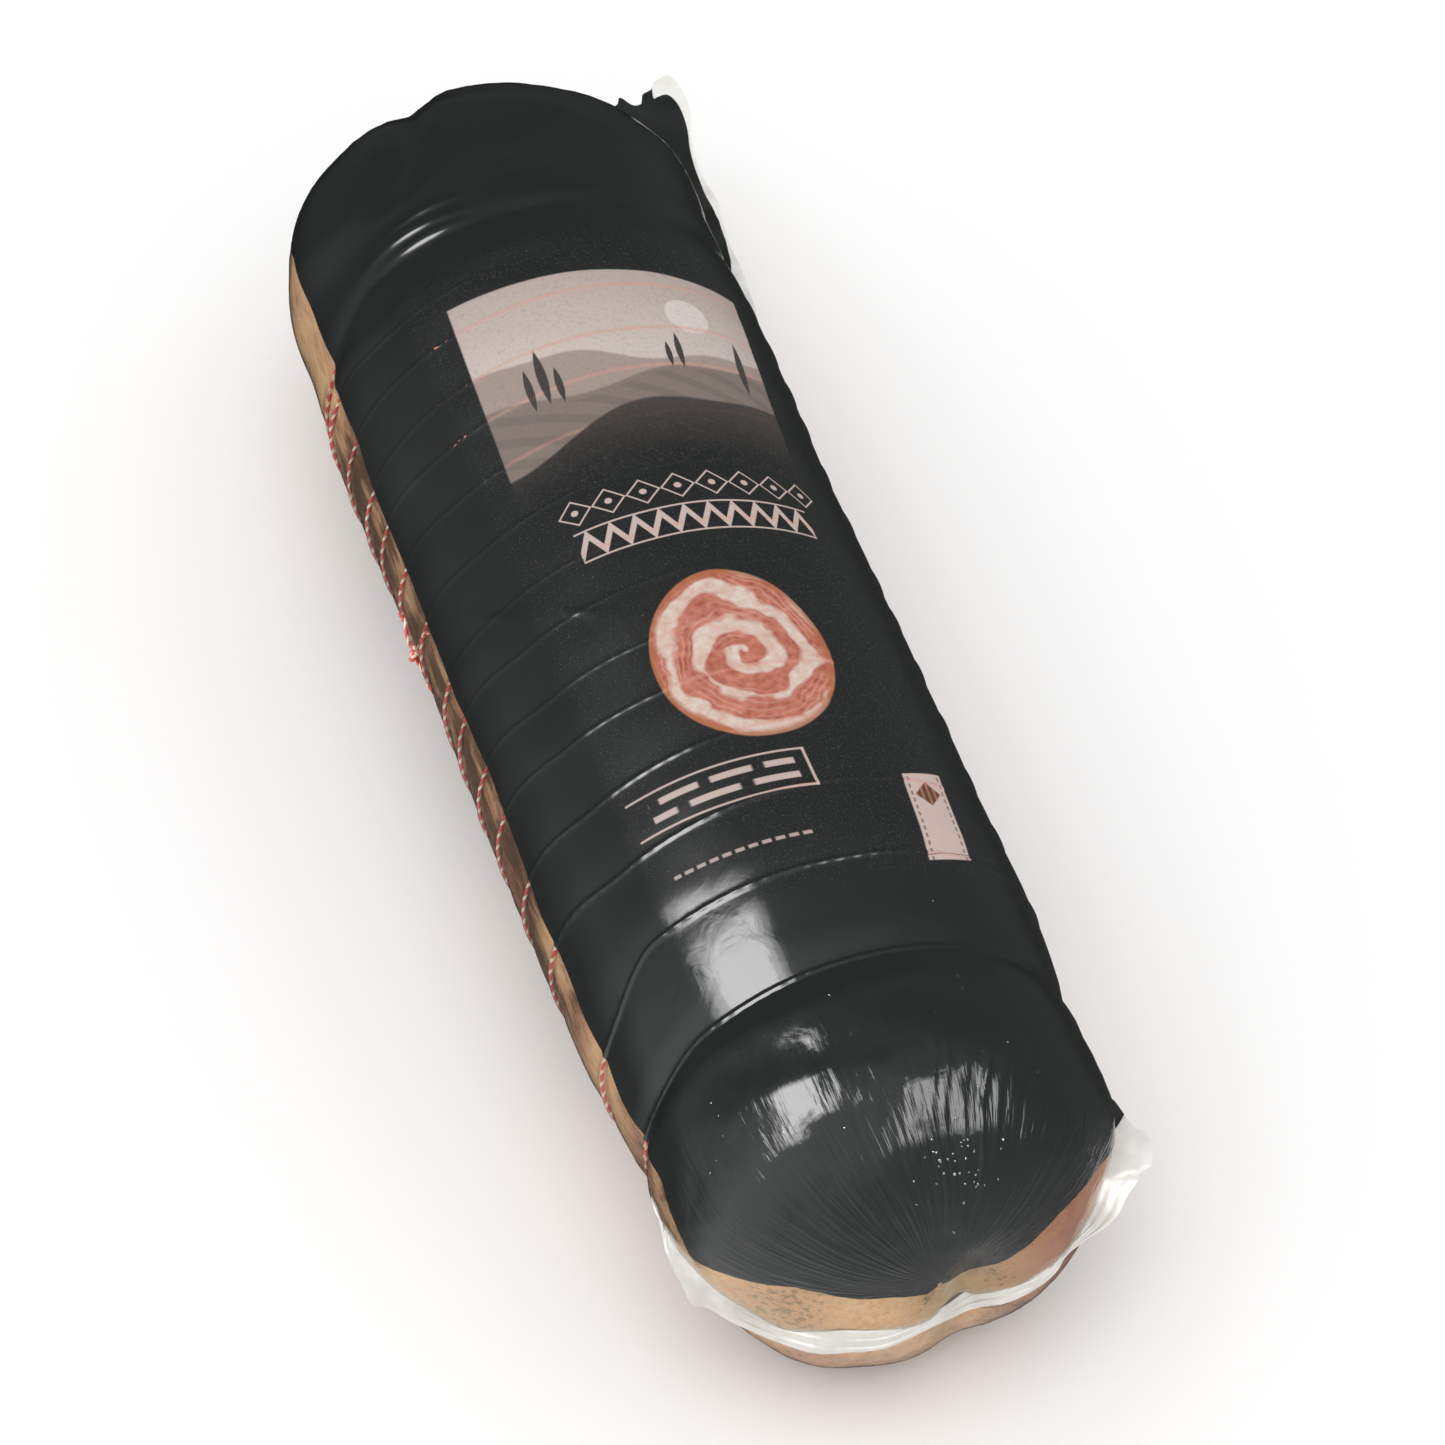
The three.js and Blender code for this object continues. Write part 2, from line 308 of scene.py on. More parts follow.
# %% Smooth noise from plane waves
def ripple(points, size, seed, waves=14):
    """Noise of about one either way: the mean of sine waves in random directions, whose lengths spread
    round size, times the square root of their number."""
    rng = np.random.default_rng(seed)
    directions = rng.normal(size=(waves, points.shape[-1]))
    directions /= np.linalg.norm(directions, axis=1, keepdims=True)
    lengths = size * rng.uniform(0.7, 1.5, waves)
    phases = rng.uniform(0, 2 * math.pi, waves)
    total = np.zeros(points.shape[:-1])
    for direction, length, phase in zip(directions, lengths, phases):
        total += np.sin(points @ direction * (2 * math.pi / length) + phase)
    return total / math.sqrt(waves)


POLE_TURN = 0.003
ROWS_AT_WRAP, ROWS_AT_WRAP_REACH = 8, 1.8
ROWS_AT_CREASES, ROWS_AT_CREASES_REACH = 4, 8
CREASES_PLACE = 143


def rows_along(body_rows, near_rows, far_rows):
    """Nominal places from one pole to the other. On a dome they are even in angle. On the body they are even
    in the running sum of a density that peaks at each wrap and over the creases by the far shoulder."""
    quarter = math.pi / 2
    near_turn = np.linspace(POLE_TURN, 1, near_rows, endpoint=False) * quarter
    far_turn = np.linspace(1, POLE_TURN, far_rows + 1)[1:] * quarter
    near = NEAR_SHOULDER - NEAR_DOME * np.cos(near_turn) ** (2 / NEAR_POWER)
    far = FAR_SHOULDER + FAR_DOME * np.cos(far_turn) ** (2 / FAR_POWER)
    fine = np.linspace(NEAR_SHOULDER, FAR_SHOULDER, 6000)
    at_wraps = bell(fine[:, None] - WRAPS[None, :], ROWS_AT_WRAP_REACH).sum(axis=1)
    at_creases = bell(fine - CREASES_PLACE, ROWS_AT_CREASES_REACH)
    running = np.cumsum(1 + ROWS_AT_WRAP * at_wraps + ROWS_AT_CREASES * at_creases)
    running = (running - running[0]) / (running[-1] - running[0])
    body = np.interp(np.linspace(0, 1, body_rows), running, fine)
    return np.concatenate([near, body, far])


print("rows from pole to pole:", len(rows_along(200, 40, 40)))

# %% [markdown]
# ## From points to a mesh
#
# Two builders cover every piece. A loft joins rings of points and closes both ends with a point each. A
# sheet takes a grid for its upper face and one for its lower face and closes the rim, so even a film a
# tenth of a millimetre thick is a closed body. Building faces from index arrays is quicker than adding
# them one by one in bmesh, which is only used to turn the normals outward.

# %% Lofts, sheets and tubes
def grid_quads(rows, columns, offset=0, wrap=False):
    """Corner numbers of the grid's quads: each point, the next in its row, and the two beside them in the
    next row. With wrap, each row's last point joins its first."""
    numbers = np.arange(rows * columns).reshape(rows, columns) + offset
    if wrap:
        numbers = np.concatenate([numbers, numbers[:, :1]], axis=1)
    corners = [numbers[:-1, :-1], numbers[:-1, 1:], numbers[1:, 1:], numbers[1:, :-1]]
    return np.stack(corners, axis=-1).reshape(-1, 4)


def loft(rings):
    """A closed body from rings, given as rows by columns by three: quads between rings, and a fan to the
    middle point of the first and last ring."""
    rows, columns = rings.shape[:2]
    points = np.concatenate([rings.reshape(-1, 3), rings[[0, -1]].mean(axis=1)])
    first = np.arange(columns)
    last = first + (rows - 1) * columns
    poles = rows * columns
    fans = [
        np.stack([first, np.roll(first, -1), np.full(columns, poles)], axis=1),
        np.stack([np.roll(last, -1), last, np.full(columns, poles + 1)], axis=1),
    ]
    return points, grid_quads(rows, columns, wrap=True).tolist() + np.concatenate(fans).tolist()


def sheet(upper, lower):
    """A closed thin body from two grids of the same size: both faces, and a strip of quads round the rim."""
    rows, columns = upper.shape[:2]
    count = rows * columns
    numbers = np.arange(count).reshape(rows, columns)
    rim = np.concatenate([numbers[0, :-1], numbers[:-1, -1], numbers[-1, :0:-1], numbers[:0:-1, 0]])
    following = np.roll(rim, -1)
    sides = np.stack([rim, following, following + count, rim + count], axis=1)
    quads = [grid_quads(rows, columns), grid_quads(rows, columns, count)[:, ::-1], sides]
    points = np.concatenate([upper.reshape(-1, 3), lower.reshape(-1, 3)])
    return points, np.concatenate(quads).tolist()


def make_piece(name, points, faces, material, attributes=None):
    """A mesh object in the frame, smooth, with its faces outward and its attributes on its points. Edges
    sharper than 50 degrees stay sharp, so that a thin sheet's rim doesn't spoil its shading."""
    mesh = bpy.data.meshes.new(name)
    mesh.from_pydata(to_frame(points).tolist(), [], faces)
    for label, values in (attributes or {}).items():
        layer = mesh.attributes.new(label, "FLOAT", "POINT")
        layer.data.foreach_set("value", np.asarray(values, np.float32).ravel())
    shell = bmesh.new()
    shell.from_mesh(mesh)
    bmesh.ops.recalc_face_normals(shell, faces=shell.faces)
    shell.to_mesh(mesh)
    shell.free()
    mesh.polygons.foreach_set("use_smooth", np.ones(len(mesh.polygons), bool))
    mesh.set_sharp_from_angle(angle=math.radians(50))
    mesh.materials.append(material)
    piece = bpy.data.objects.new(name, mesh)
    bpy.context.scene.collection.objects.link(piece)
    print(name, "has", len(mesh.polygons), "faces")
    return piece


def dress(piece):
    """Every piece rides on the one body and stands for the sealed bag's solid, which is hidden."""
    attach(piece, "root")
    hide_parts("vacuum_bag")


# %% [markdown]
# ## Shader maths that reads like maths
#
# A pattern is a formula, and a formula is hard to read as a net of nodes. This small class wraps a node's
# output, so that plus, minus and times on it add Math nodes. Everything that isn't plain arithmetic goes
# through one method that takes the node's type, its settings and what feeds its sockets.

# %% A wrapper for sockets, and one for materials
class Wire:
    """A node's output that Python's operators work on, each by adding a Math node."""

    def __init__(self, paint, socket):
        self.paint = paint
        self.socket = socket

    def math(self, operation, *values, clamp=False):
        settings = {"operation": operation, "use_clamp": clamp}
        return self.paint.node("ShaderNodeMath", settings, dict(enumerate(values)))

    def __add__(self, other):
        return self.math("ADD", self, other)

    def __radd__(self, other):
        return self.math("ADD", other, self)

    def __sub__(self, other):
        return self.math("SUBTRACT", self, other)

    def __rsub__(self, other):
        return self.math("SUBTRACT", other, self)

    def __mul__(self, other):
        return self.math("MULTIPLY", self, other)

    def __rmul__(self, other):
        return self.math("MULTIPLY", other, self)

    def __truediv__(self, other):
        return self.math("DIVIDE", self, other)

    def __abs__(self):
        return self.math("ABSOLUTE", self)

    def above(self, edge, soft):
        """One over the edge and nought under it, with a straight blend of width soft between them."""
        return self.math("MULTIPLY_ADD", self - edge, 1 / soft, 0.5, clamp=True)

    def below(self, edge, soft):
        return 1 - self.above(edge, soft)

    def between(self, low, high, soft):
        return self.above(low, soft) * self.below(high, soft)

    def sine(self):
        return self.math("SINE", self)

    def fraction(self):
        return self.math("FRACT", self)

    def root(self):
        return self.math("SQRT", self)


class Paint:
    """A material under construction, or a world where one is handed in."""

    def __init__(self, name, world=None):
        self.material = world or bpy.data.materials.new(name)
        self.material.use_nodes = True
        self.tree = self.material.node_tree
        self.tree.nodes.clear()

    def node(self, kind, settings=None, inputs=None, output=0):
        """Adds one node: its settings first, then the value or wire of each named input."""
        made = self.tree.nodes.new(kind)
        for name, value in (settings or {}).items():
            setattr(made, name, value)
        for name, value in (inputs or {}).items():
            self.feed(made.inputs[name], value)
        return Wire(self, made.outputs[output])

    def feed(self, socket, value):
        if isinstance(value, Wire):
            self.tree.links.new(value.socket, socket)
        elif isinstance(value, tuple) and socket.type == "RGBA":
            socket.default_value = (*value, 1.0)
        else:
            socket.default_value = value

    def mix(self, factor, under, over):
        """A colour between two: under at nought, over at one."""
        settings = {"data_type": "RGBA", "clamp_factor": True}
        return self.node("ShaderNodeMix", settings, {0: factor, 6: under, 7: over}, output=2)

    def attribute(self, name):
        return self.node("ShaderNodeAttribute", {"attribute_name": name}, output="Fac")

    def place(self):
        """Object coordinates, in metres from the frame's origin."""
        return self.node("ShaderNodeTexCoord", output="Object")

    def stretched(self, scale):
        """Object coordinates scaled differently along each axis."""
        return self.node("ShaderNodeMapping", inputs={"Vector": self.place(), "Scale": scale})

    def noise(self, vector, scale, detail=3.0, roughness=0.5, distortion=0.0):
        """Blender's noise as a number round a half."""
        inputs = {"Scale": scale, "Detail": detail, "Roughness": roughness, "Distortion": distortion}
        return self.node("ShaderNodeTexNoise", {}, {"Vector": vector, **inputs})

    def bump(self, height, strength, distance):
        """A normal from a height, which counts for the given distance in metres."""
        return self.node("ShaderNodeBump", {}, {"Height": height, "Strength": strength, "Distance": distance})

    def surface(self, **inputs):
        """The Principled shader; an input's name is written with underscores for its spaces."""
        named = {name.replace("_", " "): value for name, value in inputs.items()}
        return self.node("ShaderNodeBsdfPrincipled", {}, named)

    def clear_over(self, factor, shader):
        """A see-through surface at factor nought, and the shader at one."""
        clear = self.node("ShaderNodeBsdfTransparent")
        return self.node("ShaderNodeMixShader", {}, {0: factor, 1: clear, 2: shader})

    def finish(self, shader, kind="ShaderNodeOutputMaterial"):
        output = self.tree.nodes.new(kind)
        self.tree.links.new(shader.socket, output.inputs["Surface"])
        return self.material


def tone(red, green, blue):
    """A colour as a screen shows it, nought to 255, as the linear values that shaders use."""
    screen = np.array([red, green, blue]) / 255
    low = screen / 12.92
    high = ((screen + 0.055) / 1.055) ** 2.4
    return tuple(float(v) for v in np.where(screen <= 0.04045, low, high))


# %% [markdown]
# ## Heights of the layers over the plain roll
#
# The meat bulges between the wraps and is drawn in under them, so each wrap lies in a groove. The twine lies
# in the groove's bottom. Film is stretched over both: it follows the meat's bulges, but over the twine it
# stands up as a narrow ridge like a tent. Under the print most ridges are low, and the last few towards the
# near end are higher, where the film is tightest.

# %% Grooves, ridges and pleats
RIGHT_FADE, LEFT_FADE = (-45, 8), (222, 168)
GROOVE_DEPTH = 1.7
WAIST_DEPTH = 1.2
GROOVE_REACH = 5.0
FRONT_GROOVES = np.array([0.62, 0.2, 0.1, 0.07, 0.05, *[0.04] * 7, 0.05, 0.1, 0.5])
RIDGE_REACH = 0.95
PRINT_RIDGE_REACH = 0.6
CLEAR_RIDGE = 0.95
PRINT_RIDGES = np.array([0.35, 0.36, 0.22, 0.15, 0.1, 0.07, 0.06, *[0.05] * 3, 0.06, *[0.05] * 3, 0.1])
SHOULDER_CREASES = [
    (136.5, 118, 11, 0.42, 1.1), (141, 121, 12, 0.5, 1.3), (145.5, 116, 9, 0.36, 1.1),
    (150, 84, 14, 0.12, 1.4), (137.5, 78, 15, 0.12, 2.2),
]
CREASE_BOW = 0.006
TWIST_PITCH = 4.6
SLANTING_RIDGE = 0.14
SLANTING_REACH = 0.7
SLANT_COSINE = 0.78
FAR_OFF = 60
DIAGONAL_FROM, DIAGONAL_TO = 31, 166
DIAGONAL = np.array([
    (31, -59), (45, -54.5), (54, -46), (73, -35), (101, -16.5), (133, 6.5), (145.5, 16), (165, 27.5),
])


def wrap_away(along):
    """Distance to every wrap, one wrap to a page on the last axis."""
    return np.asarray(along)[..., None] - WRAPS


def whole_degrees(turn):
    """The angle in degrees between -90 and 270, so that the jump lies underneath."""
    return (np.degrees(turn) + 90) % 360 - 90


def under_print(turn):
    """One where the print is, falling off over both flanks to nought underneath."""
    degrees = whole_degrees(turn)
    return smooth_step(degrees, *RIGHT_FADE) * smooth_step(degrees, *LEFT_FADE)


def groove_lift(along, turn):
    """Minus the sum of a wide bell at each wrap, the first one deeper than the rest. On the front most of
    them are nearly bridged over."""
    depths = np.full(len(WRAPS), GROOVE_DEPTH)
    depths[0] += WAIST_DEPTH
    left_open = 1 - (1 - FRONT_GROOVES) * under_print(turn)[..., None]
    return -(depths * left_open * bell(wrap_away(along), GROOVE_REACH)).sum(axis=-1)


def diagonal_away(along, turn):
    """Distance to the slanting strand: the distance along the roll times the slant's cosine, and far more
    where the strand doesn't run."""
    degrees = whole_degrees(turn)
    line = np.interp(degrees, DIAGONAL[:, 0], DIAGONAL[:, 1])
    off_line = np.where((degrees > DIAGONAL_FROM) & (degrees < DIAGONAL_TO), 0, FAR_OFF)
    return (along - line) * SLANT_COSINE + off_line


def ridge_lift(along, turn):
    """The sum of a narrow bell at each wrap, its height blended from the print's to the clear film's, and a
    low bell over the slanting strand."""
    degrees = whole_degrees(turn)
    front = (smooth_step(degrees, -4, 30) * smooth_step(degrees, 180, 162))[..., None]
    heights = PRINT_RIDGES * front + CLEAR_RIDGE * (1 - front)
    reach = (PRINT_RIDGE_REACH * front + RIDGE_REACH * (1 - front)) * (1 + 1.4 * (WRAPS > 130))
    wraps = (heights * bell(wrap_away(along) / reach, 1)).sum(axis=-1)
    return wraps + SLANTING_RIDGE * bell(diagonal_away(along, turn), SLANTING_REACH)


def crease_lift(along, turn):
    """Short soft ridges across the far shoulder. Each is a bell along the roll times a bell of the angle, and
    bows with the square of the angle from its middle."""
    degrees = whole_degrees(turn)
    total = 0
    for place, middle, spread, height, reach in SHOULDER_CREASES:
        bowed = along - place + CREASE_BOW * (degrees - middle) ** 2
        total = total + height * bell(bowed, reach) * bell(degrees - middle, spread)
    return total


def round_place(along, turn):
    """A point's rough place as three numbers, for noise that has no seam round the roll."""
    share = dome_share(along)
    return np.stack([58 * share * np.cos(turn), along + 0 * turn, 54 * share * np.sin(turn)], axis=-1)


FOLD_COUNT_SHARES = (0.62, 0.87, 1.0, 1.31, 1.73)
FOLD_MEAN = 0.38
NEAR_PLEATS, NEAR_PLEAT_HEIGHT = 74, 0.9
FAR_PLEATS, FAR_PLEAT_HEIGHT = 40, 0.5


def folds(turn, count, seed):
    """Uneven folds across the angle: the mean of sharp-crested waves, each one less the size of a sine, with
    counts near the one asked for."""
    rng = np.random.default_rng(seed)
    total = np.zeros(np.shape(turn))
    for share in FOLD_COUNT_SHARES:
        phase = rng.uniform(0, 2 * math.pi)
        total += (1 - np.abs(np.sin(turn * round(count * share) / 2 + phase))) ** 2
    return total / len(FOLD_COUNT_SHARES) - FOLD_MEAN


def pleat_lift(along, turn):
    """Folds that run along both domes towards their middles. Those of the near dome are strongest in front
    and fade out towards its middle. Those of the far dome are fewer and softer."""
    share = dome_share(along)
    near = smooth_step(along, -138, -176) * smooth_step(share, 0.05, 0.6)
    far = smooth_step(along, 172, 200) * smooth_step(share, 0.02, 0.5)
    drawn = turn + 0.05 * np.sin(along / 7.0)
    degrees = whole_degrees(turn)
    uneven = 0.25 + 0.75 * bell(degrees - 70, 17) + 0.5 * bell(degrees - 28, 18)
    near_pleats = near * uneven * NEAR_PLEAT_HEIGHT * folds(drawn, NEAR_PLEATS, 3)
    return near_pleats + far * FAR_PLEAT_HEIGHT * folds(drawn, FAR_PLEATS, 5)


def at_ends(along):
    """One on both domes and nought on the body, where the film is stretched smooth."""
    return np.maximum(smooth_step(along, -134, -158), smooth_step(along, 150, 178))


def broad_lumps(along, turn):
    """Noise of the size of a thumb, more of it on the domes."""
    return (0.12 + 0.2 * at_ends(along)) * ripple(round_place(along, turn), 24, 11)


def film_lift(along, turn):
    """The film: the meat's grooves, the ridges over the twine, the pleats, and shallow lumps of two sizes."""
    small = (0.012 + 0.06 * at_ends(along)) * ripple(round_place(along, turn), 6.5, 12)
    lumps = broad_lumps(along, turn) + small + crease_lift(along, turn)
    return groove_lift(along, turn) + ridge_lift(along, turn) + pleat_lift(along, turn) + lumps


MEAT_UNDER_FILM = 0.5


def meat_lift(along, turn):
    """The meat: the film's height without ridges and pleats, a little lower, rougher, and notched where the
    twine cuts in. Under the pleated print the gap is widest."""
    place = round_place(along, turn)
    lumps = broad_lumps(along, turn) + 0.07 * ripple(place, 5, 13) + 0.04 * ripple(place, 2.6, 14)
    notch = 0.35 * bell(wrap_away(along), 0.9).sum(axis=-1)
    gap = MEAT_UNDER_FILM * (0.5 + 0.5 * under_print(turn))
    return groove_lift(along, turn) + lumps - notch - gap


print("groove at the near waist:", round(float(groove_lift(WRAPS[0], math.pi / 2)), 2), "mm")

# %% [markdown]
# ## The meat
#
# The outside of a smoked belly is rind and fat: cream and tan, darker and streaked along the roll where the
# smoke caught it, pink or salmon where lean meat comes through at the ends. Painting it by hand would need
# an image. Noise stretched along the roll gives the streaks, and slow noise chooses between pale, pink and
# smoked, helped by where each of them lies on the real one.

# %% Meat finish
def meat_material():
    """Cream under pink under smoke: each colour goes over the last one by a mask of its own. Smoke is a soft
    brown wash with darker, finer patches in it."""
    paint = Paint("cured_meat")
    place = paint.place()
    along_roll = paint.stretched((1.0, 0.28, 1.0))
    slow = paint.noise(place, 30, detail=4)
    streaks = paint.noise(along_roll, 190, detail=6, roughness=0.62, distortion=0.6)
    fine = paint.noise(along_roll, 620, detail=4, roughness=0.6)
    grain = paint.noise(place, 1700, detail=2)
    smoked = paint.attribute("smoked")
    lean = paint.attribute("lean")
    olive = paint.attribute("olive")
    pale = paint.attribute("pale")
    freckled = paint.attribute("freckled")
    cream = paint.mix(fine.above(0.47, 0.35), tone(232, 184, 134), tone(250, 222, 180))
    pink = paint.mix(streaks.above(0.48, 0.25), tone(216, 160, 128), tone(238, 196, 168))
    fat = paint.mix((slow - pale * 0.25).above(0.5, 0.16), cream, pink)
    red = paint.mix(streaks.above(0.5, 0.2), tone(180, 102, 74), tone(204, 136, 104))
    fat = paint.mix(lean * (fine * 0.6 + 0.5), fat, red)
    fat = paint.mix(olive * (streaks + 0.3), fat, tone(186, 164, 104))
    contrast = 3.0 - pale * 2.2
    depth = smoked + (streaks - 0.5) * contrast + (slow - 0.5) * 1.4
    smoke_mask = (depth + (fine - 0.5) * 1.8).above(0.64, 0.5)
    smoke = paint.mix(fine.above(0.52, 0.3), tone(62, 42, 27), tone(120, 84, 50))
    skin = paint.mix(depth.above(0.46, 0.9) * 0.75, fat, tone(158, 110, 68))
    skin = paint.mix(smoke_mask * 0.9, skin, smoke)
    specks = (fine + freckled * 0.1).above(0.62, 0.16) * (slow + freckled * 0.2).above(0.5, 0.2)
    skin = paint.mix(specks * 0.6, skin, tone(120, 76, 42))
    height = streaks * 0.6 + fine * 0.3 + grain * 0.15
    return paint.finish(paint.surface(
        Base_Color=skin,
        Roughness=0.34 + smoke_mask * 0.1,
        Specular_IOR_Level=0.5,
        Subsurface_Weight=0.06,
        Subsurface_Radius=(0.004, 0.002, 0.001),
        Subsurface_Scale=1.0,
        Normal=paint.bump(height, 0.55, 0.0011),
    ))


def meat_masks(points):
    """Where the skin is smoked dark, lean, olive, pale or freckled, each nought to one, from the place along
    the roll and round it."""
    x, y, z = np.moveaxis(points, -1, 0)
    body = smooth_step(y, -92, -62) * smooth_step(y, 132, 96)
    underneath = smooth_step(z, -12, -46)
    near_face = smooth_step(y, -165, -186)
    smoked = 0.36 + 0.34 * body + 0.08 * underneath + 0.14 * ripple(points, 60, 21) - 0.26 * near_face
    lean = near_face * (bell(x - 38, 17) + 0.35 * bell(x + 26, 20) * smooth_step(z, -16, -30))
    olive = near_face * bell(x - 9, 9) * smooth_step(z, -26, -8)
    freckled = near_face * bell(x + 36, 11) * smooth_step(z, -22, -8)
    pale = near_face * (0.5 + 0.5 * smooth_step(z, -24, -16))
    masks = {"smoked": smoked, "lean": lean, "olive": olive, "pale": pale, "freckled": freckled}
    return {name: np.clip(mask, 0, 1) for name, mask in masks.items()}


# %% Meat
MEAT_ROWS = rows_along(230, 34, 34)
MEAT_COLUMNS = np.linspace(0, 2 * math.pi, 250, endpoint=False)
MEAT_REST_GAP = 0.75


def make_meat():
    """One closed loft over the whole roll."""
    along, turn = np.meshgrid(MEAT_ROWS, MEAT_COLUMNS, indexing="ij")
    rings = roll_points(along, turn, meat_lift(along, turn), MEAT_REST_GAP)
    points, faces = loft(rings)
    return make_piece("pancetta_roll", points, faces, meat_material(), meat_masks(points))


dress(make_meat())

# %% [markdown]
# ## The twine
#
# Butcher's twine is two or three thin strands twisted together, and here one of them is white, so white
# flecks come round at an even pitch. A curve with a round bevel would give a plain tube. This tube is worked
# out point by point, so that its section can have two lobes that turn along it, and each point can carry
# the twist's angle for the colour.

# %% A twisted tube along a path
TWINE_RADIUS = 0.52
TWINE_SIDES = 8
TWINE_STEP = 0.62
TWINE_LOBE = 0.13


def even_path(points, step, closed):
    """The same path with even steps, by interpolating on its running length."""
    if closed:
        points = np.concatenate([points, points[:1]])
    running = np.concatenate([[0], np.cumsum(np.linalg.norm(np.diff(points, axis=0), axis=1))])
    count = max(int(running[-1] / step), 4)
    wanted = np.linspace(0, running[-1], count, endpoint=not closed)
    return np.stack([np.interp(wanted, running, column) for column in points.T], axis=1)


def twisted_tube(path, closed):
    """Rings round a path. The first side of each ring points away from the roll's axis, and the radius has
    two lobes that turn once in each pitch. Returns points, faces and the cosine of the twist's angle."""
    ahead = np.gradient(path, axis=0)
    if closed:
        ahead = np.roll(path, -1, axis=0) - np.roll(path, 1, axis=0)
    ahead /= np.linalg.norm(ahead, axis=1, keepdims=True)
    outward = path * np.array([1.0, 0.0, 1.0])
    outward -= ahead * (outward * ahead).sum(axis=1, keepdims=True)
    outward /= np.linalg.norm(outward, axis=1, keepdims=True)
    across = np.cross(ahead, outward)
    side = np.linspace(0, 2 * math.pi, TWINE_SIDES, endpoint=False)
    turns = max(round(len(path) * TWINE_STEP / TWIST_PITCH), 1)
    twist = np.arange(len(path)) * (2 * math.pi * turns / len(path))
    lay = side[None, :] - twist[:, None]
    reach = TWINE_RADIUS * (1 + TWINE_LOBE * np.cos(2 * lay))[..., None]
    ring = np.cos(side)[None, :, None] * outward[:, None] + np.sin(side)[None, :, None] * across[:, None]
    points = (path[:, None] + reach * ring).reshape(-1, 3)
    faces = grid_quads(len(path), TWINE_SIDES, wrap=True)
    if closed:
        last = np.arange(TWINE_SIDES) + (len(path) - 1) * TWINE_SIDES
        first = np.arange(TWINE_SIDES)
        join = np.stack([last, np.roll(last, -1), np.roll(first, -1), first], axis=1)
        return points, np.concatenate([faces, join]).tolist(), np.cos(lay).ravel()
    ends = [list(range(TWINE_SIDES)), list(range(len(points) - TWINE_SIDES, len(points)))]
    return points, faces.tolist() + ends, np.cos(lay).ravel()


def joined(parts):
    """Several sets of points, faces and values as one, with the faces' numbers moved on."""
    points, faces, values = [], [], []
    count = 0
    for part_points, part_faces, part_values in parts:
        points.append(part_points)
        faces += [[corner + count for corner in face] for face in part_faces]
        values.append(part_values)
        count += len(part_points)
    return np.concatenate(points), faces, np.concatenate(values)


# %% Twine: wraps, the slanting strand and the knot
TWINE_UNDER_FILM = 0.2
DOUBLED_WRAPS = (0, 14)
DOUBLE_OFFSET = 0.58
TWINE_REST_GAP = TWINE_RADIUS * 1.15 + 0.15


def twine_path(along, turn, raised=0.0):
    """The twine's middle: the film's height at that place, less the film's gap and the twine's radius."""
    lift = groove_lift(along, turn) + ridge_lift(along, turn) - TWINE_UNDER_FILM - TWINE_RADIUS
    return roll_points(along, turn, lift + broad_lumps(along, turn) + raised, TWINE_REST_GAP)


def wrap_loops():
    """A closed loop for each wrap, and two side by side for the doubled ones."""
    turn = np.linspace(0, 2 * math.pi, 720, endpoint=False)
    loops = []
    for index, place in enumerate(WRAPS):
        offsets = (-DOUBLE_OFFSET, DOUBLE_OFFSET) if index in DOUBLED_WRAPS else (0.0,)
        for offset in offsets:
            path = twine_path(np.full(turn.shape, place + offset), turn)
            loops.append(twisted_tube(even_path(path, TWINE_STEP, True), True))
    return loops


def strand(stops, raised=0.0):
    """An open strand through stops, each a place along the roll and an angle in degrees, smoothed by
    averaging neighbours on a fine path."""
    stops = np.array(stops, float)
    share = np.linspace(0, len(stops) - 1, 40 * len(stops))
    along = np.interp(share, range(len(stops)), stops[:, 0])
    degrees = np.interp(share, range(len(stops)), stops[:, 1])
    window = np.ones(25) / 25
    along, degrees = (np.convolve(np.pad(v, 12, mode="edge"), window, "valid") for v in (along, degrees))
    heights = raised if np.isscalar(raised) else np.interp(share, range(len(stops)), raised)
    path = twine_path(along, np.radians(degrees), heights)
    return twisted_tube(even_path(path, TWINE_STEP, False), False)


KNOT_PLACE = (40.0, 188.0)
slanting = strand([(y, turn) for turn, y in DIAGONAL[:-1]] + [(27.7, 165), (33.9, 175), (39, 186)])
loose_ends = [
    strand([(38, 184), (42, 187), (47, 187.5), (53, 185)], [0.5, 1.4, 1.3, 0.6]),
    strand([(41, 190), (36, 191), (31, 194), (24, 197), (16, 199)], [0.9, 0.9, 0.6, 0.3, 0.1]),
    strand([(39, 189), (44, 192), (46, 196), (43, 201)], [0.9, 1.0, 0.5, 0.2]),
]


def knot_turns():
    """The knot: three small rings of twine round one another, each tilted its own way."""
    share = np.linspace(0, 2 * math.pi, 60, endpoint=False)
    middle = twine_path(np.array([KNOT_PLACE[0]]), np.radians([KNOT_PLACE[1]]), 1.2)[0]
    rings = []
    for tilt, size in ((0.2, 1.25), (1.3, 1.35), (2.3, 1.15)):
        ring = np.stack([0.7 * np.sin(share + tilt), np.cos(share) * math.cos(tilt) + 0.5 * np.sin(share),
                         np.sin(share) * math.cos(tilt) + np.cos(share) * math.sin(tilt)], axis=1)
        rings.append(twisted_tube(even_path(middle + size * ring, TWINE_STEP / 2, True), True))
    return rings


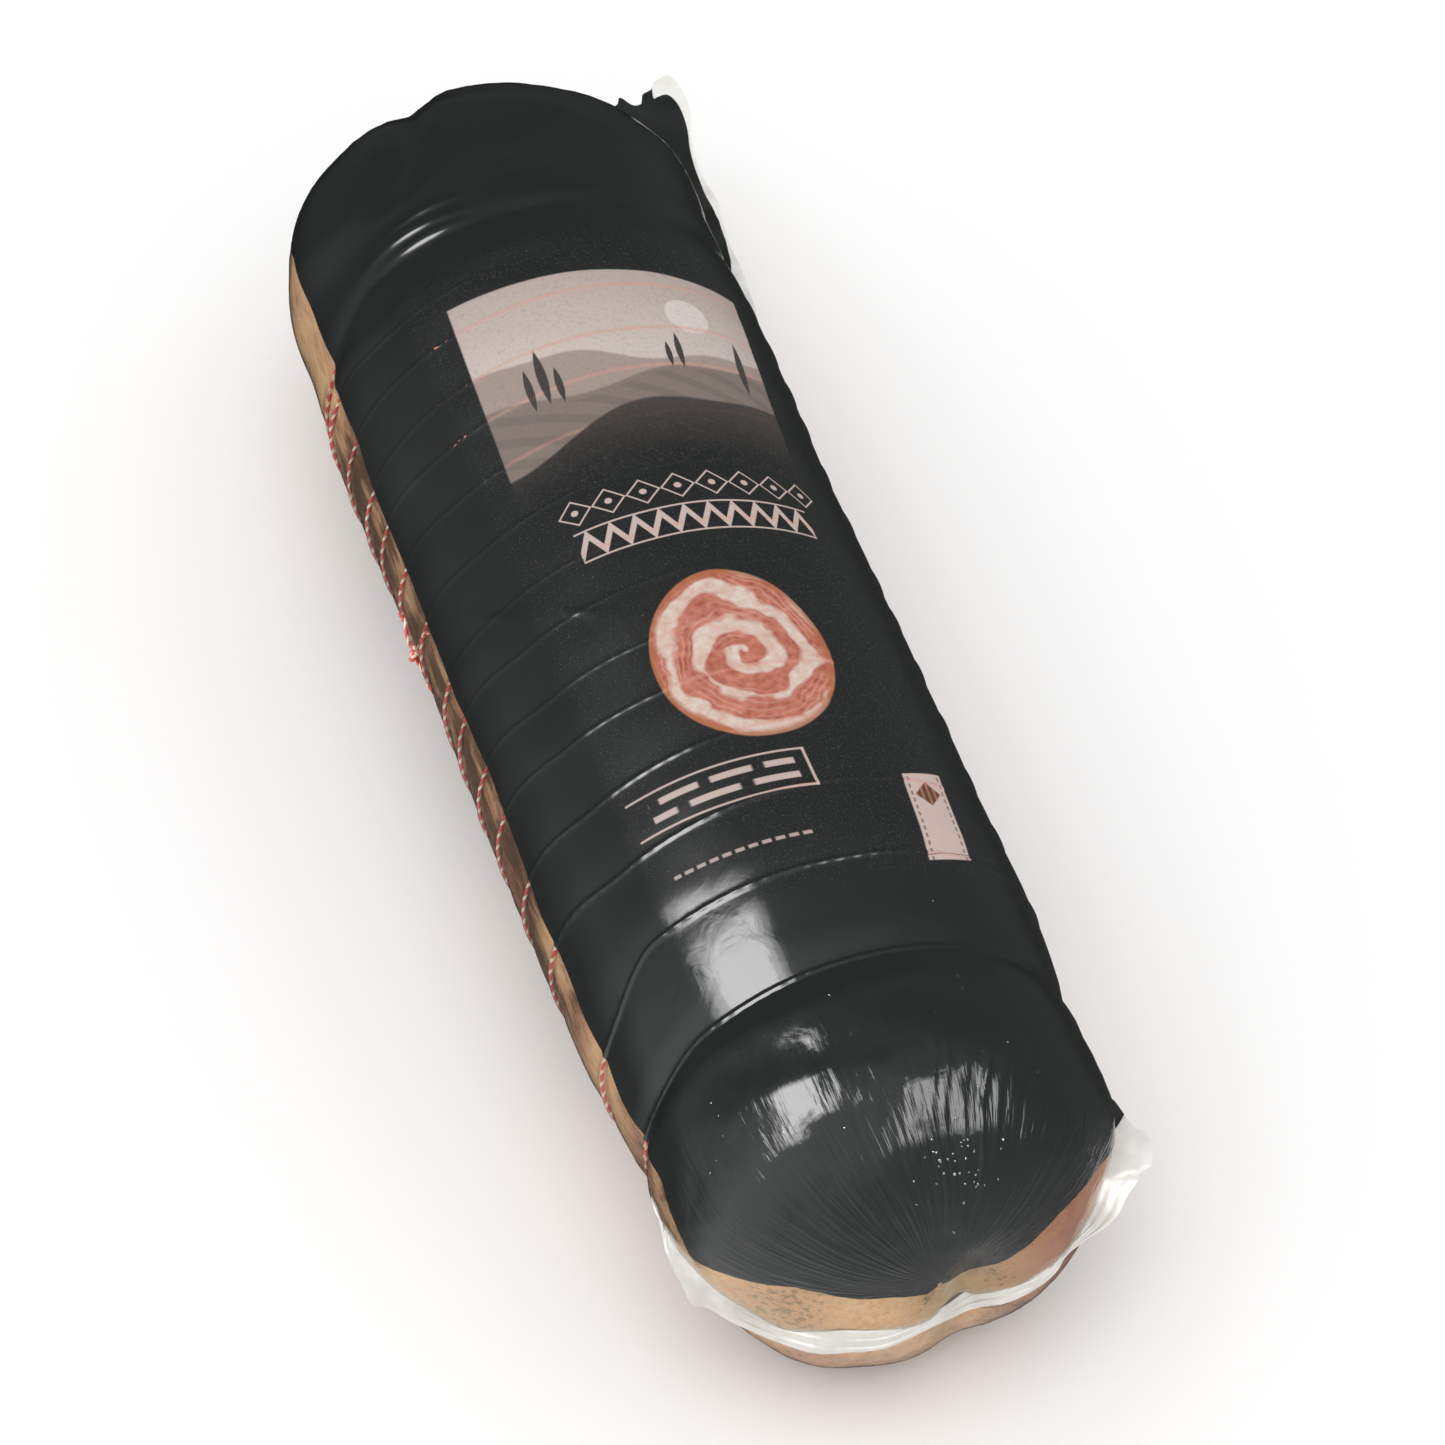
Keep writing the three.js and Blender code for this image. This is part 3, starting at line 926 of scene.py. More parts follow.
# %% Twine finish
def twine_material():
    """Red, and white where the cosine of the twist's angle is high, with fibres as fine streaks."""
    paint = Paint("red_and_white_twine")
    lay = paint.attribute("lay")
    fibres = paint.noise(paint.place(), 1500, detail=3)
    stain = paint.noise(paint.place(), 60, detail=2)
    red = paint.mix(fibres, tone(196, 42, 36), tone(232, 80, 66))
    white = paint.mix(stain.above(0.5, 0.3), tone(246, 238, 220), tone(236, 216, 180))
    colour = paint.mix((lay + (fibres - 0.5) * 0.5).above(0.42, 0.3), red, white)
    return paint.finish(paint.surface(
        Base_Color=colour,
        Roughness=0.62,
        Sheen_Weight=0.25,
        Normal=paint.bump(fibres, 0.5, 0.0002),
    ))


def make_twine():
    points, faces, lay = joined(wrap_loops() + [slanting] + loose_ends + knot_turns())
    return make_piece("butchers_twine", points, faces, twine_material(), {"lay": lay})


dress(make_twine())

# %% [markdown]
# ## The clear film
#
# Shrink film is clear and glossy: what shows is mostly what lies behind it, and a mirror image of the lights
# that gets stronger towards the edges. A glass shader would bend the light through a tenth of a millimetre
# of film for nothing, and it is slow. A mix of see-through and mirror, ruled by Fresnel's law, does the same
# in one step. Where the film is gathered at the seams it turns milky, so a mask mixes in a white surface.

# %% Clear film
FILM_ROWS = rows_along(226, 44, 34)
FILM_COLUMNS = np.linspace(0, 2 * math.pi, 220, endpoint=False)


SEAM_LINE = [(-57, -2), (-43, -14), (-37, -16), (-30, -13.5), (13, -16.5), (29, -13.5), (52, -6.5)]


def seam_height(x):
    """Height of the sealed seam, in straight lines from place to place."""
    return np.interp(x, *np.transpose(SEAM_LINE))


def glassy(paint, roughness, normal, least=0.0):
    """See-through under a mirror, mixed by Fresnel's law for thin film, with at least the given share of
    mirror."""
    grazing = paint.node("ShaderNodeFresnel", {}, {"IOR": 1.4, "Normal": normal})
    mirror = paint.surface(Base_Color=(1.0, 1.0, 1.0), Metallic=1.0, Roughness=roughness, Normal=normal)
    return paint.clear_over(grazing + least, mirror)


def clear_film_material():
    """The glassy mix, and a milky surface over it where the haze mask is high."""
    paint = Paint("clear_shrink_film")
    creases = paint.noise(paint.place(), 260, detail=4, roughness=0.55, distortion=0.4)
    normal = paint.bump(creases, 0.4, 0.0006)
    milk = paint.surface(Base_Color=tone(228, 220, 206), Roughness=0.3, Normal=normal)
    haze = paint.attribute("haze") * (creases * 1.4 + 0.3)
    clear = glassy(paint, 0.09, normal)
    return paint.finish(paint.node("ShaderNodeMixShader", {}, {0: haze, 1: clear, 2: milk}))


def haze_mask(points):
    """A thin haze everywhere, and more by the seam at both ends."""
    x, y, z = np.moveaxis(points, -1, 0)
    on_domes = np.maximum(smooth_step(y, -176, -190), smooth_step(y, 185, 200))
    return 0.02 + 0.3 * on_domes * bell(z - seam_height(x), 2)


def make_clear_film():
    along, turn = np.meshgrid(FILM_ROWS, FILM_COLUMNS, indexing="ij")
    points, faces = loft(roll_points(along, turn, film_lift(along, turn)))
    return make_piece("clear_film", points, faces, clear_film_material(), {"haze": haze_mask(points)})


dress(make_clear_film())

# %% [markdown]
# ## The printed film
#
# The front of the bag is printed black. The print doesn't go all the way round: its left edge wanders along
# the flank, its near edge crosses the end, with meat showing below it, and its far edge goes down to the
# seam. So it is a sheet of its own, a tenth of a millimetre over the clear film, with its outline given as
# angles at a few places along the roll, and as the seam's height on the far end.
# Each point keeps three numbers: how far it is across the front, how far along, and whether twine lies under
# it. The printed pattern is drawn from these, so it sticks to the film however the film bulges.

# %% Outline of the print
LEFT_EDGE = [
    (-200, 223), (-199.9, 189), (-199.6, 177.5), (-198.2, 172.5), (-196.5, 169.5), (-194, 169), (-191, 172),
    (-184, 174.5), (-174, 179), (-170.5, 175), (-166, 173), (-153, 170.5), (-135, 173.5), (-119, 173),
    (-108, 170), (-89, 168), (-70, 167.5), (-46, 165.5), (-24, 164.5), (3, 166), (70, 165.5), (100, 162.5),
    (123, 163.5), (133, 160.5), (145.5, 162.5), (169, 162), (190, 172),
]
RIGHT_EDGE = [
    (-200, -45), (-199.7, -29), (-199.5, -14), (-199.3, -5), (-199, 1.5), (-198.6, 8.5), (-197, 15),
    (-195.7, 18), (-193, 18.5), (-188.5, 15.5), (-183.5, 11.5), (-178, 8), (-163, -3), (-155, -6),
]
DOME_SEAM_FROM, DOME_SEAM_TO = 182, 200
PAST_SEAM = 1.5
FAR_SEAM = [(-45, -12), (-37, -15), (-22, -20), (0, -20), (24, -14), (36, -8), (48, -5)]
PRINT_COLUMNS = 152
COLUMN_SPREAD = [(0, 0), (0.15, 0.29), (0.85, 0.8), (1, 1)]
PRINT_THICKNESS = 0.06
PRINT_GAP = 0.1


def far_seam_degrees(rows, side):
    """How far under the horizontal the far seam crosses each row, with side 1 at the right and -1 at the
    left: the arcsine of the seam's height over the section's. The height depends on the angle again, so the
    step is repeated until both agree."""
    half = HALF_WIDTH * dome_share(rows)
    below = np.zeros(len(rows))
    for _ in range(30):
        height = np.interp(side * half * np.cos(below), *np.transpose(FAR_SEAM))
        reached = np.arcsin(np.clip(-height / (half * HEIGHT_SHARE), 0, 1))
        below = (below + reached) / 2
    return np.degrees(below)


def print_grid():
    """Places along the roll by angles between the right edge and the left one, which both go down to the seam
    on the far dome and a little past it. Columns are closer together on the front, where the pleats are, than
    on the flanks."""
    on_far_dome = smooth_step(FILM_ROWS, DOME_SEAM_FROM, DOME_SEAM_TO)
    right = np.interp(FILM_ROWS, *np.transpose(RIGHT_EDGE))
    left = np.interp(FILM_ROWS, *np.transpose(LEFT_EDGE))
    right = right + (-far_seam_degrees(FILM_ROWS, 1) - PAST_SEAM - right) * on_far_dome
    left = left + (180 + far_seam_degrees(FILM_ROWS, -1) + PAST_SEAM - left) * on_far_dome
    share = np.interp(np.linspace(0, 1, PRINT_COLUMNS), *np.transpose(COLUMN_SPREAD))
    degrees = right[:, None] + (left - right)[:, None] * share
    degrees += 0.15 * share * np.sin(FILM_ROWS / 4.1)[:, None]
    return np.broadcast_to(FILM_ROWS[:, None], degrees.shape), np.radians(degrees)


def print_attributes(along, turn):
    """Degrees to the right of the top, millimetres along the roll, and a bell over each wrap."""
    over_twine = bell(wrap_away(along), 0.6).sum(axis=-1) + bell(diagonal_away(along, turn), 0.6)
    values = {"across": 90 - np.degrees(turn), "along": along + shift_along(along, turn), "twine": over_twine}
    return {name: np.concatenate([value.ravel()] * 2) for name, value in values.items()}


# %% [markdown]
# ## What is printed
#
# The design is a plain one of this file's own: a sepia landscape, two bands of ornament, a slice with its
# spiral, a frame with bars and a pale tag. All of it is drawn with arithmetic on the two distances. A line
# is the place where an expression is close to nought, a disc is where a distance is under a radius, and a
# row of anything is one of it on the fraction of a distance.

# %% Helpers for drawing
INK = tone(196, 176, 168)
BLACK_FILM = tone(33, 35, 35)


def four_sided(across, along, top_left, top_right, bottom_left, bottom_right):
    """Shares from left to right and from bottom to top of a panel with four given corners."""
    top = top_left[1] + (across - top_left[0]) * ((top_right[1] - top_left[1]) / (top_right[0] - top_left[0]))
    drop = (bottom_right[1] - bottom_left[1]) / (bottom_right[0] - bottom_left[0])
    bottom = bottom_left[1] + (across - bottom_left[0]) * drop
    rise = (along - bottom) / (top - bottom)
    left = bottom_left[0] + rise * (top_left[0] - bottom_left[0])
    right = bottom_right[0] + rise * (top_right[0] - bottom_right[0])
    return (across - left) / (right - left), rise


def near_line(value, middle, half):
    """One where the value is within half of the middle."""
    return abs(value - middle).below(half, 0.3)


# %% The landscape
PICTURE_CORNERS = [(-29, 108), (53.5, 101.5), (-32, 34), (46, 30)]
TREES = [(0.16, 0.40, 0.013, 0.20), (0.21, 0.41, 0.016, 0.26), (0.255, 0.40, 0.012, 0.17),
         (0.63, 0.50, 0.010, 0.13), (0.67, 0.50, 0.012, 0.18), (0.90, 0.42, 0.016, 0.28)]


def hills(wide, tall, level, swing, waves, shift):
    """One under a skyline: a level plus a sine of the width and a smaller, quicker one."""
    slow = (wide * waves + shift).sine()
    quick = (wide * (waves * 2.7) + shift * 2).sine()
    return (tall - level - slow * swing - quick * (swing * 0.3)).below(0, 0.012)


def draw_picture(paint, across, along, under):
    """Sky, sun, three ranges of hills, slim trees and a dark foreground, each over the one before."""
    wide, tall = four_sided(across, along, *PICTURE_CORNERS)
    grain = paint.noise(paint.place(), 900, detail=2)
    sky = paint.mix(tall.above(0.9, 0.6) + wide * 0.2 - 0.1, tone(196, 184, 177), tone(164, 148, 141))
    sun = ((wide - 0.74) * (wide - 0.74) * 1.2 + (tall - 0.78) * (tall - 0.78)).below(0.0075, 0.0012)
    picture = paint.mix(sun * 0.8, sky, tone(214, 203, 197))
    picture = paint.mix(hills(wide, tall, 0.60, 0.05, 6.0, 1.0), picture, tone(158, 143, 135))
    picture = paint.mix(hills(wide, tall, 0.49, 0.06, 4.6, 3.4), picture, tone(128, 115, 108))
    rows = ((wide * 30 + tall * 60).sine()).above(0.3, 0.5) * hills(wide, tall, 0.47, 0.06, 4.6, 3.4)
    picture = paint.mix(rows * 0.35, picture, tone(100, 90, 84))
    for place, foot, half, height in TREES:
        sideways = abs(wide - place) / half
        up = (tall - foot - height / 2) / (height / 2)
        picture = paint.mix((sideways + up * up).below(1, 0.25), picture, tone(66, 60, 57))
    near_hill = hills(wide, tall, 0.27, 0.10, 3.4, -1.2)
    picture = paint.mix(near_hill, picture, tone(72, 66, 63))
    picture = paint.mix(near_hill * tall.below(0.22, 0.3), picture, BLACK_FILM)
    picture = paint.mix((grain - 0.5) * 0.7, picture, tone(90, 82, 78))
    inside = wide.between(0, 1, 0.006) * tall.between(0, 1, 0.007)
    return paint.mix(inside, under, picture)


# %% Ornament, slice, frame and tag
CHAIN_ALONG, BAND_ALONG = 25, 13.3
CHAIN_PITCH, ZIGZAG_PITCH = 8.9, 6.3
SLICE_ACROSS, SLICE_ALONG = 5, -35
SLICE_HALF_WIDTH, SLICE_HALF_HEIGHT = 22.5, 29
SLICE_TURNS = 2.6
TAG_CORNERS = [(32.5, -79), (45.7, -76.4), (28.4, -109), (42.4, -106.5)]


def draw_ornament(paint, across, along, under):
    """A chain of thin lozenges with dots over a bold zigzag between two rules, both on a slight slant."""
    level = along + across * 0.035
    cell = (((across + 24) / CHAIN_PITCH).fraction() - 0.5) * CHAIN_PITCH
    over_chain = level - CHAIN_ALONG
    diamond = abs(cell) / 4.2 + abs(over_chain) / 4.2
    dot = (cell * cell + over_chain * over_chain).below(0.9, 0.5)
    chain = (abs(diamond - 1).below(0.075, 0.05) + dot) * across.between(-24, 47.2, 0.3)
    over_band = level - BAND_ALONG
    wave = abs((across / ZIGZAG_PITCH).fraction() - 0.5) * 13 - 3.25
    zigzag = abs(over_band - wave).below(1.7, 0.4) + near_line(abs(over_band), 4.9, 0.3)
    bold = zigzag * abs(over_band).below(5.2, 0.2) * across.between(-22, 41, 0.3)
    return paint.mix((chain + bold) * 0.96, under, INK)


def draw_slice(paint, across, along, under):
    """A spiral: the share of the way out, times the number of turns, less the share of a turn. Its fraction
    is low on lean bands and high on fat ones. The rim is browned."""
    right = (across - SLICE_ACROSS) / SLICE_HALF_WIDTH
    up = (along - SLICE_ALONG) / SLICE_HALF_HEIGHT
    wobble = paint.noise(paint.place(), 48, detail=3)
    fibre = paint.noise(paint.place(), 420, detail=4)
    out = (right * right + up * up).root()
    around = up.math("ARCTAN2", up, right) / (2 * math.pi)
    turns = out * SLICE_TURNS - around + wobble * 1.7
    band = turns.fraction()
    thickness = paint.noise(paint.place(), 70, detail=2) * 0.9 - 0.22
    lean = paint.mix(fibre.above(0.5, 0.4), tone(160, 82, 66), tone(196, 126, 106))
    marbling = abs((turns * 5).fraction() - 0.5).below(0.16, 0.2) * wobble.above(0.47, 0.1)
    lean = paint.mix(marbling * 0.5, lean, tone(206, 158, 142))
    fat = paint.mix(fibre.above(0.5, 0.4), tone(200, 166, 150), tone(214, 200, 190))
    slice_colour = paint.mix((thickness - abs(band - 0.5)).above(0, 0.12), lean, fat)
    slice_colour = paint.mix(out.above(0.93, 0.06) * 0.8, slice_colour, tone(164, 98, 60))
    return paint.mix((out + wobble * 0.04).below(1.01, 0.02), under, slice_colour)


def draw_frame(paint, across, along, under):
    """Two rules and a right side, with two rows of plain bars between them, and a row of small dashes."""
    level = along + (across + 37) * 0.078
    rules = near_line(level, -66.2, 0.32) + near_line(level, -78.5, 0.32)
    sides = near_line(across, 8.6, 0.35) * level.between(-78.7, -66, 0.3)
    bars = near_line(level, -69.9, 1.0) * (across * 0.47).sine().above(-0.75, 0.2)
    bars = bars + near_line(level, -74.6, 1.0) * (across * 0.39 + 1.3).sine().above(-0.78, 0.2)
    dashes = near_line(along + (across + 33) * 0.088, -93.7, 0.55) * (across * 1.9).sine().above(-0.55, 0.4)
    frame_ink = rules * across.between(-37, 8.9, 0.3) + sides + bars * across.between(-31.5, 5.5, 0.3)
    return paint.mix((frame_ink + dashes * across.between(-33, 2, 0.3) * 0.8) * 0.9, under, INK)


def draw_tag(paint, across, along, under):
    """A pale strip with a dashed line inside each long side, a rule at the bottom and a brown lozenge."""
    wide, tall = four_sided(across, along, *TAG_CORNERS)
    dashed = abs(abs(wide - 0.5) - 0.4).below(0.025, 0.02) * (tall * 75).sine().above(-0.2, 0.5)
    rule = abs(tall - 0.06).below(0.006, 0.006)
    lozenge = (abs(wide - 0.5) * 3.1 + abs(tall - 0.76) * 7.2).below(1, 0.1)
    tag = paint.mix((dashed + rule) * 0.7, INK, tone(70, 60, 58))
    tag = paint.mix(lozenge, tag, tone(104, 66, 46))
    tag = paint.mix(lozenge * (wide * 40).sine().above(0.4, 0.6), tag, tone(150, 112, 88))
    inside = wide.between(0, 1, 0.03) * tall.between(0, 1, 0.012)
    return paint.mix(inside, under, tag)


# %% Printed film finish
def film_creases(paint, across, along, twine):
    """Streaks that follow the roll's meridians, finer than the pleats in the mesh, shallow wrinkles, and the
    twine's twist as a sine along each ridge."""
    flat = paint.node("ShaderNodeCombineXYZ", {}, {"X": across, "Y": along * 0.12})
    streaks = paint.noise(flat, 0.55, detail=3, roughness=0.5, distortion=0.3)
    near_dome = along.below(-146, 20)
    wrinkles = paint.noise(paint.place(), 110, detail=3, roughness=0.45, distortion=0.8)
    twist = (across * (2 * math.pi * 1.047 / TWIST_PITCH)).sine() * twine * (along.below(-55, 40) * 0.8 + 0.2)
    low_dome = along.below(-183, 16)
    by_waist = along.between(-140, -98, 20)
    wrinkling = near_dome * 0.3 + by_waist * 0.3 + 0.06
    return streaks * (near_dome * 0.4 + low_dome * 0.8 + 0.03) + wrinkles * wrinkling + twist * 0.12


def printed_film_material():
    """Black plastic with the design over it. Ink is tinted where the twine presses it from behind, and the
    middle of the front is peppered with fine pale specks."""
    paint = Paint("printed_shrink_film")
    across, along, twine = (paint.attribute(name) for name in ("across", "along", "twine"))
    colour = BLACK_FILM
    for draw in (draw_picture, draw_ornament, draw_slice, draw_frame, draw_tag):
        colour = draw(paint, across, along, colour)
    brightness = paint.node("ShaderNodeRGBToBW", {}, {"Color": colour})
    pressed = twine * brightness.above(0.14, 0.2)
    colour = paint.mix(pressed * 0.5, colour, tone(206, 148, 132))
    rubbed = paint.noise(paint.place(), 330, detail=2).above(0.6, 0.04) * across.between(-42, -33, 3)
    flecks = rubbed * along.between(62, 108, 6) * twine.above(0.7, 0.2)
    colour = paint.mix(flecks, colour, tone(214, 130, 120))
    pepper = paint.noise(paint.place(), 2600, detail=1)
    speckled = across.above(-40, 4) * along.between(-112, 120, 10)
    colour = paint.mix(pepper.above(0.68, 0.05) * speckled * 0.3, colour, tone(120, 116, 112))
    height = film_creases(paint, across, along, twine) + pepper * speckled * 0.006
    return paint.finish(paint.surface(
        Base_Color=colour,
        Roughness=0.1 + speckled * 0.06 + brightness * 0.1,
        Specular_IOR_Level=0.5,
        Normal=paint.bump(height, 0.5, 0.0008),
    ))


def make_printed_film():
    """A closed sheet: its upper face, and the same grid a little lower."""
    along, turn = print_grid()
    lift = film_lift(along, turn) + PRINT_GAP
    lower = roll_points(along, turn, lift)
    upper = roll_points(along, turn, lift + PRINT_THICKNESS)
    points, faces = sheet(upper, lower)
    attributes = print_attributes(along, turn)
    return make_piece("printed_film", points, faces, printed_film_material(), attributes)


dress(make_printed_film())

# %% [markdown]
# ## The sealed edges
#
# Both ends of the bag are welded flat. Beyond the roll the two films lie on each other as a fin: wide ears at
# the corners, and a narrow band that folds down in front. A fin is a sheet between two curves, its edge and
# its root on the roll. Each stop of the lists below gives a point of the edge and the point of the root that
# belongs to it, so that one smooth curve through six numbers makes both.

# %% Curves of a fin
NEAR_FIN = [
    (-50, -132, -1, -46, -133, -1), (-56.5, -149, -3, -52, -148, -3), (-57, -157, -4, -54, -156, -3.5),
    (-58, -164, -6, -56, -163, -3), (-57.5, -168.5, -8, -55, -168, -3.5),
    (-56.5, -172, -10, -54, -171.5, -4.5), (-55.5, -177.5, -12, -51.5, -175.5, -6),
    (-52, -179, -13.5, -49, -178, -8.5), (-46.5, -183, -16.5, -43.5, -182, -14),
    (-38.5, -190, -18, -37.5, -187.5, -16), (-30.5, -198, -16.5, -30, -194, -13.5),
    (-23, -200.5, -16.5, -22, -198, -13), (-12, -201.5, -17.5, -11, -199.5, -14.5),
    (2, -198.5, -17.5, 2.5, -197.5, -15), (11.5, -196, -18.5, 12.5, -193, -17),
    (20, -198, -17, 20, -196, -14), (28.5, -197, -15.5, 29.5, -195.5, -13.5),
    (33.5, -195.5, -13.5, 33, -194, -12.5),
    (37, -193, -11.5, 36, -192, -11), (42, -191, -10.5, 40.5, -190, -10),
    (48, -189.5, -9.5, 44.5, -187, -8.5), (53, -186.5, -9, 48.5, -183, -8.5),
    (57, -182.5, -8, 50.5, -180.5, -7.5), (60.5, -180, -7, 51.5, -179, -6.5), (62, -178, -7, 52, -178, -6),
    (65.5, -176.5, -6.5, 52.5, -177, -6), (67.5, -171.5, -6.5, 53, -175, -6),
    (67.5, -166, -6.5, 53, -171, -6), (66, -165, -6.5, 53, -168.5, -6), (65, -162, -6.5, 53, -165, -6),
    (63.5, -155, -6.5, 53, -158, -6), (62, -152.5, -6.5, 53, -154, -6), (58, -142, -6, 51, -144, -6),
    (50, -130, -5, 46, -131, -5),
]
FAR_FIN = [
    (-48, 150, -13, -44, 150, -13), (-51, 176, -12, -45, 172, -12), (-44, 200, -15, -37, 194, -15),
    (-24, 214, -20, -22, 204, -20), (0, 219, -20, 0, 207, -20), (28, 219, -14, 24, 205, -14),
    (44, 218, -8, 36, 198, -8), (51, 216.5, -4, 41, 193, -5), (53, 217.5, -4, 42, 191, -5),
    (54.5, 220, -4, 43, 189, -5), (56.5, 217, -4, 44, 187.5, -5), (58, 216, -4, 45, 186, -5),
    (60, 216.5, -4, 46, 184.5, -5), (61, 219.5, -4, 47, 183, -5), (64, 221, -4, 48, 181, -5),
    (65.5, 224, -4, 49, 179, -5), (68, 225.5, -4, 50, 177, -5), (71, 225.5, -4, 51, 175, -5),
    (72.5, 220, -4, 52, 172, -5), (72, 210, -4, 53, 168, -5), (69, 200, -4, 54, 164, -5),
    (67.5, 191, -4, 55, 160, -5), (67, 181.5, -4, 55.5, 156.5, -5), (68, 173, -4, 56, 153, -5),
    (66.5, 162.5, -4, 56, 148, -5), (66, 146.5, -4, 56.5, 140, -5), (64.5, 128.5, -4, 57, 126, -5),
    (60, 114, -4, 55, 113, -5), (50, 100, -4, 46, 101, -5),
]
ROOT_PUSH = 1.0


def smooth_curve(stops, count):
    """A curve through every stop: on each stretch, the Catmull-Rom cubic of the four stops round it."""
    stops = np.array(stops, float)
    before = 2 * stops[:1] - stops[1:2]
    after = 2 * stops[-1:] - stops[-2:-1]
    padded = np.concatenate([before, stops, after])
    place = np.linspace(0, len(stops) - 1, count)
    index = np.minimum(place.astype(int), len(stops) - 2)
    share = (place - index)[:, None]
    a, b, c, d = (padded[index + step] for step in range(4))
    linear = (c - a) * share
    square = (2 * a - 5 * b + 4 * c - d) * share**2
    cubic = (3 * b - a - 3 * c + d) * share**3
    return (2 * b + linear + square + cubic) / 2


# %% Surface of a fin
FIN_ROWS = 24
FIN_STEP = 0.75
EDGE_THICKNESS = 0.3
ROOT_THICKNESS = 1.4
ROOT_ARCH = 0.5
BAND_FOLDS, BAND_FOLD_HEIGHT = 2.6, 0.2
EAR_WAVE_HEIGHT = 0.7
NUB_HEIGHT, NUB_INSET = 0.2, 2.8
# Range of the right ears that are painted whiter: partly their milkier film, partly painted light against the
# roll's shade.
WHITER_LIT_EARS_FROM, WHITER_LIT_EARS_TO = -20, 20


def fin_curves(stops):
    """The edge and the root with steps that are even on the edge, the root pushed a little into the roll,
    and the running length along the edge."""
    both = smooth_curve(stops, 6000)
    running = np.concatenate([[0], np.cumsum(np.linalg.norm(np.diff(both[:, :3], axis=0), axis=1))])
    wanted = np.arange(0, running[-1], FIN_STEP)
    both = np.stack([np.interp(wanted, running, column) for column in both.T], axis=1)
    edge, root = both[:, :3], both[:, 3:]
    way = root - edge
    return edge, root + way * (ROOT_PUSH / np.linalg.norm(way, axis=1, keepdims=True)), wanted


def ear_share(edge, root):
    """Nought where the fin is a narrow band and one where it is a wide ear."""
    return smooth_step(np.linalg.norm(edge - root, axis=1), 4.5, 9)


def fin_surface(fin, out, seed):
    """The fin's upper face, out running from nought at the root to one at the edge. Folds run along the
    narrow band. The wide ears are smooth and wavy, with a row of small nubs inside their edge."""
    edge, root, running = fin
    flat = root + (edge - root) * out[..., None]
    width = np.linalg.norm(edge - root, axis=1)
    ear = ear_share(edge, root)
    height = ROOT_ARCH * (1 - out) ** 2
    across_folds = out * BAND_FOLDS + 0.2 * np.sin(running / 9)
    height = height + BAND_FOLD_HEIGHT * (1 - 0.8 * ear) * np.sin(2 * math.pi * across_folds)
    waves = EAR_WAVE_HEIGHT * ripple(flat, 19, seed) + 0.07 * ripple(flat, 6, seed + 1)
    height = height + waves * out**0.7 * (0.12 + 0.88 * ear)
    nubs = np.maximum(np.sin(running * 3), 0) * bell((1 - out) * width - NUB_INSET, 0.4)
    height = height + NUB_HEIGHT * nubs * ear
    return flat + height[..., None] * np.array([0, 0, 1])


def make_seal(name, fin, seed, material):
    """A closed sheet, thick and webbed at the root and thin at the edge. The attribute is one on the right
    ears, which are painted whiter than the rest: partly for their milkier film, and partly as painted light
    against the shade that the roll casts on them."""
    out = np.broadcast_to(np.linspace(0, 1, FIN_ROWS)[:, None], (FIN_ROWS, len(fin[0])))
    upper = fin_surface(fin, out, seed)
    thickness = EDGE_THICKNESS + (ROOT_THICKNESS - EDGE_THICKNESS) * (1 - out) ** 2
    lower = upper - thickness[..., None] * np.array([0, 0, 1])
    points, faces = sheet(upper, lower)
    # Mask of the right ears: partly their milkier film, partly painted light where the roll shades them.
    white = ear_share(*fin[:2]) * smooth_step(fin[0][:, 0], WHITER_LIT_EARS_FROM, WHITER_LIT_EARS_TO)
    white = np.broadcast_to(white, out.shape).ravel()
    return make_piece(name, points, faces, material, {"ear": np.concatenate([white, white])})


# %% Seals
def sealed_film_material():
    """Milky plastic, nearly solid, with a little light through its thinner parts, whitest on the right ears:
    partly their milkier film, and partly painted light against the roll's shade on them."""
    paint = Paint("sealed_milky_film")
    place = paint.place()
    cloud = paint.noise(place, 120, detail=4)
    crinkles = paint.noise(place, 480, detail=3, distortion=0.5)
    ear = paint.attribute("ear")
    # The mix towards near white on the right ears is partly painted light against the roll's shade on them.
    white = paint.mix(cloud.above(0.5, 0.4) * 0.4 + ear * 0.6, tone(208, 205, 198), tone(252, 251, 247))
    shell = paint.surface(
        Base_Color=white,
        Roughness=0.28,
        Specular_IOR_Level=0.6,
        Normal=paint.bump(crinkles * 0.5 + cloud, 0.25, 0.0005),
    )
    return paint.finish(paint.clear_over(0.92 + cloud.above(0.5, 0.3) * 0.08, shell))


near_fin = fin_curves(NEAR_FIN)
far_fin = fin_curves(FAR_FIN)
sealed_film = sealed_film_material()
dress(make_seal("near_seal", near_fin, 41, sealed_film))
dress(make_seal("far_seal", far_fin, 43, sealed_film))

# %% [markdown]
# ## Print on the ears
#
# The upper film's print runs on over the ears and stops short of the weld, where only clear film is left.
# These are the same fin surface again, a little higher, cut off at a share of its width.

# %% Black film on the ears
EAR_ROWS = 14
EAR_LIFT = 0.16
EAR_THICKNESS = 0.1
FAR_BLACK_FROM = -30
FAR_WELD = [
    (104, 4), (130, 5), (146, 5), (153, 2.6), (160, 1.4), (168, 2.5), (172, 4), (186, 4), (200, 5),
    (208, 7.5), (218, 8),
]
NEAR_CORNER = [(-164, 0), (-163, 0.5), (-161.5, 0.75), (-159.5, 1)]


def black_ear(fin, share, seed):
    """A closed sheet over the fin from its root out to the given share of its width. Columns with nothing to
    cover are left out."""
    keep = share > 0.02
    out = np.linspace(0, 1, EAR_ROWS)[:, None] * share[keep]
    lower = fin_surface([part[keep] for part in fin], out, seed) + np.array([0, 0, EAR_LIFT])
    return sheet(lower + np.array([0, 0, EAR_THICKNESS]), lower)


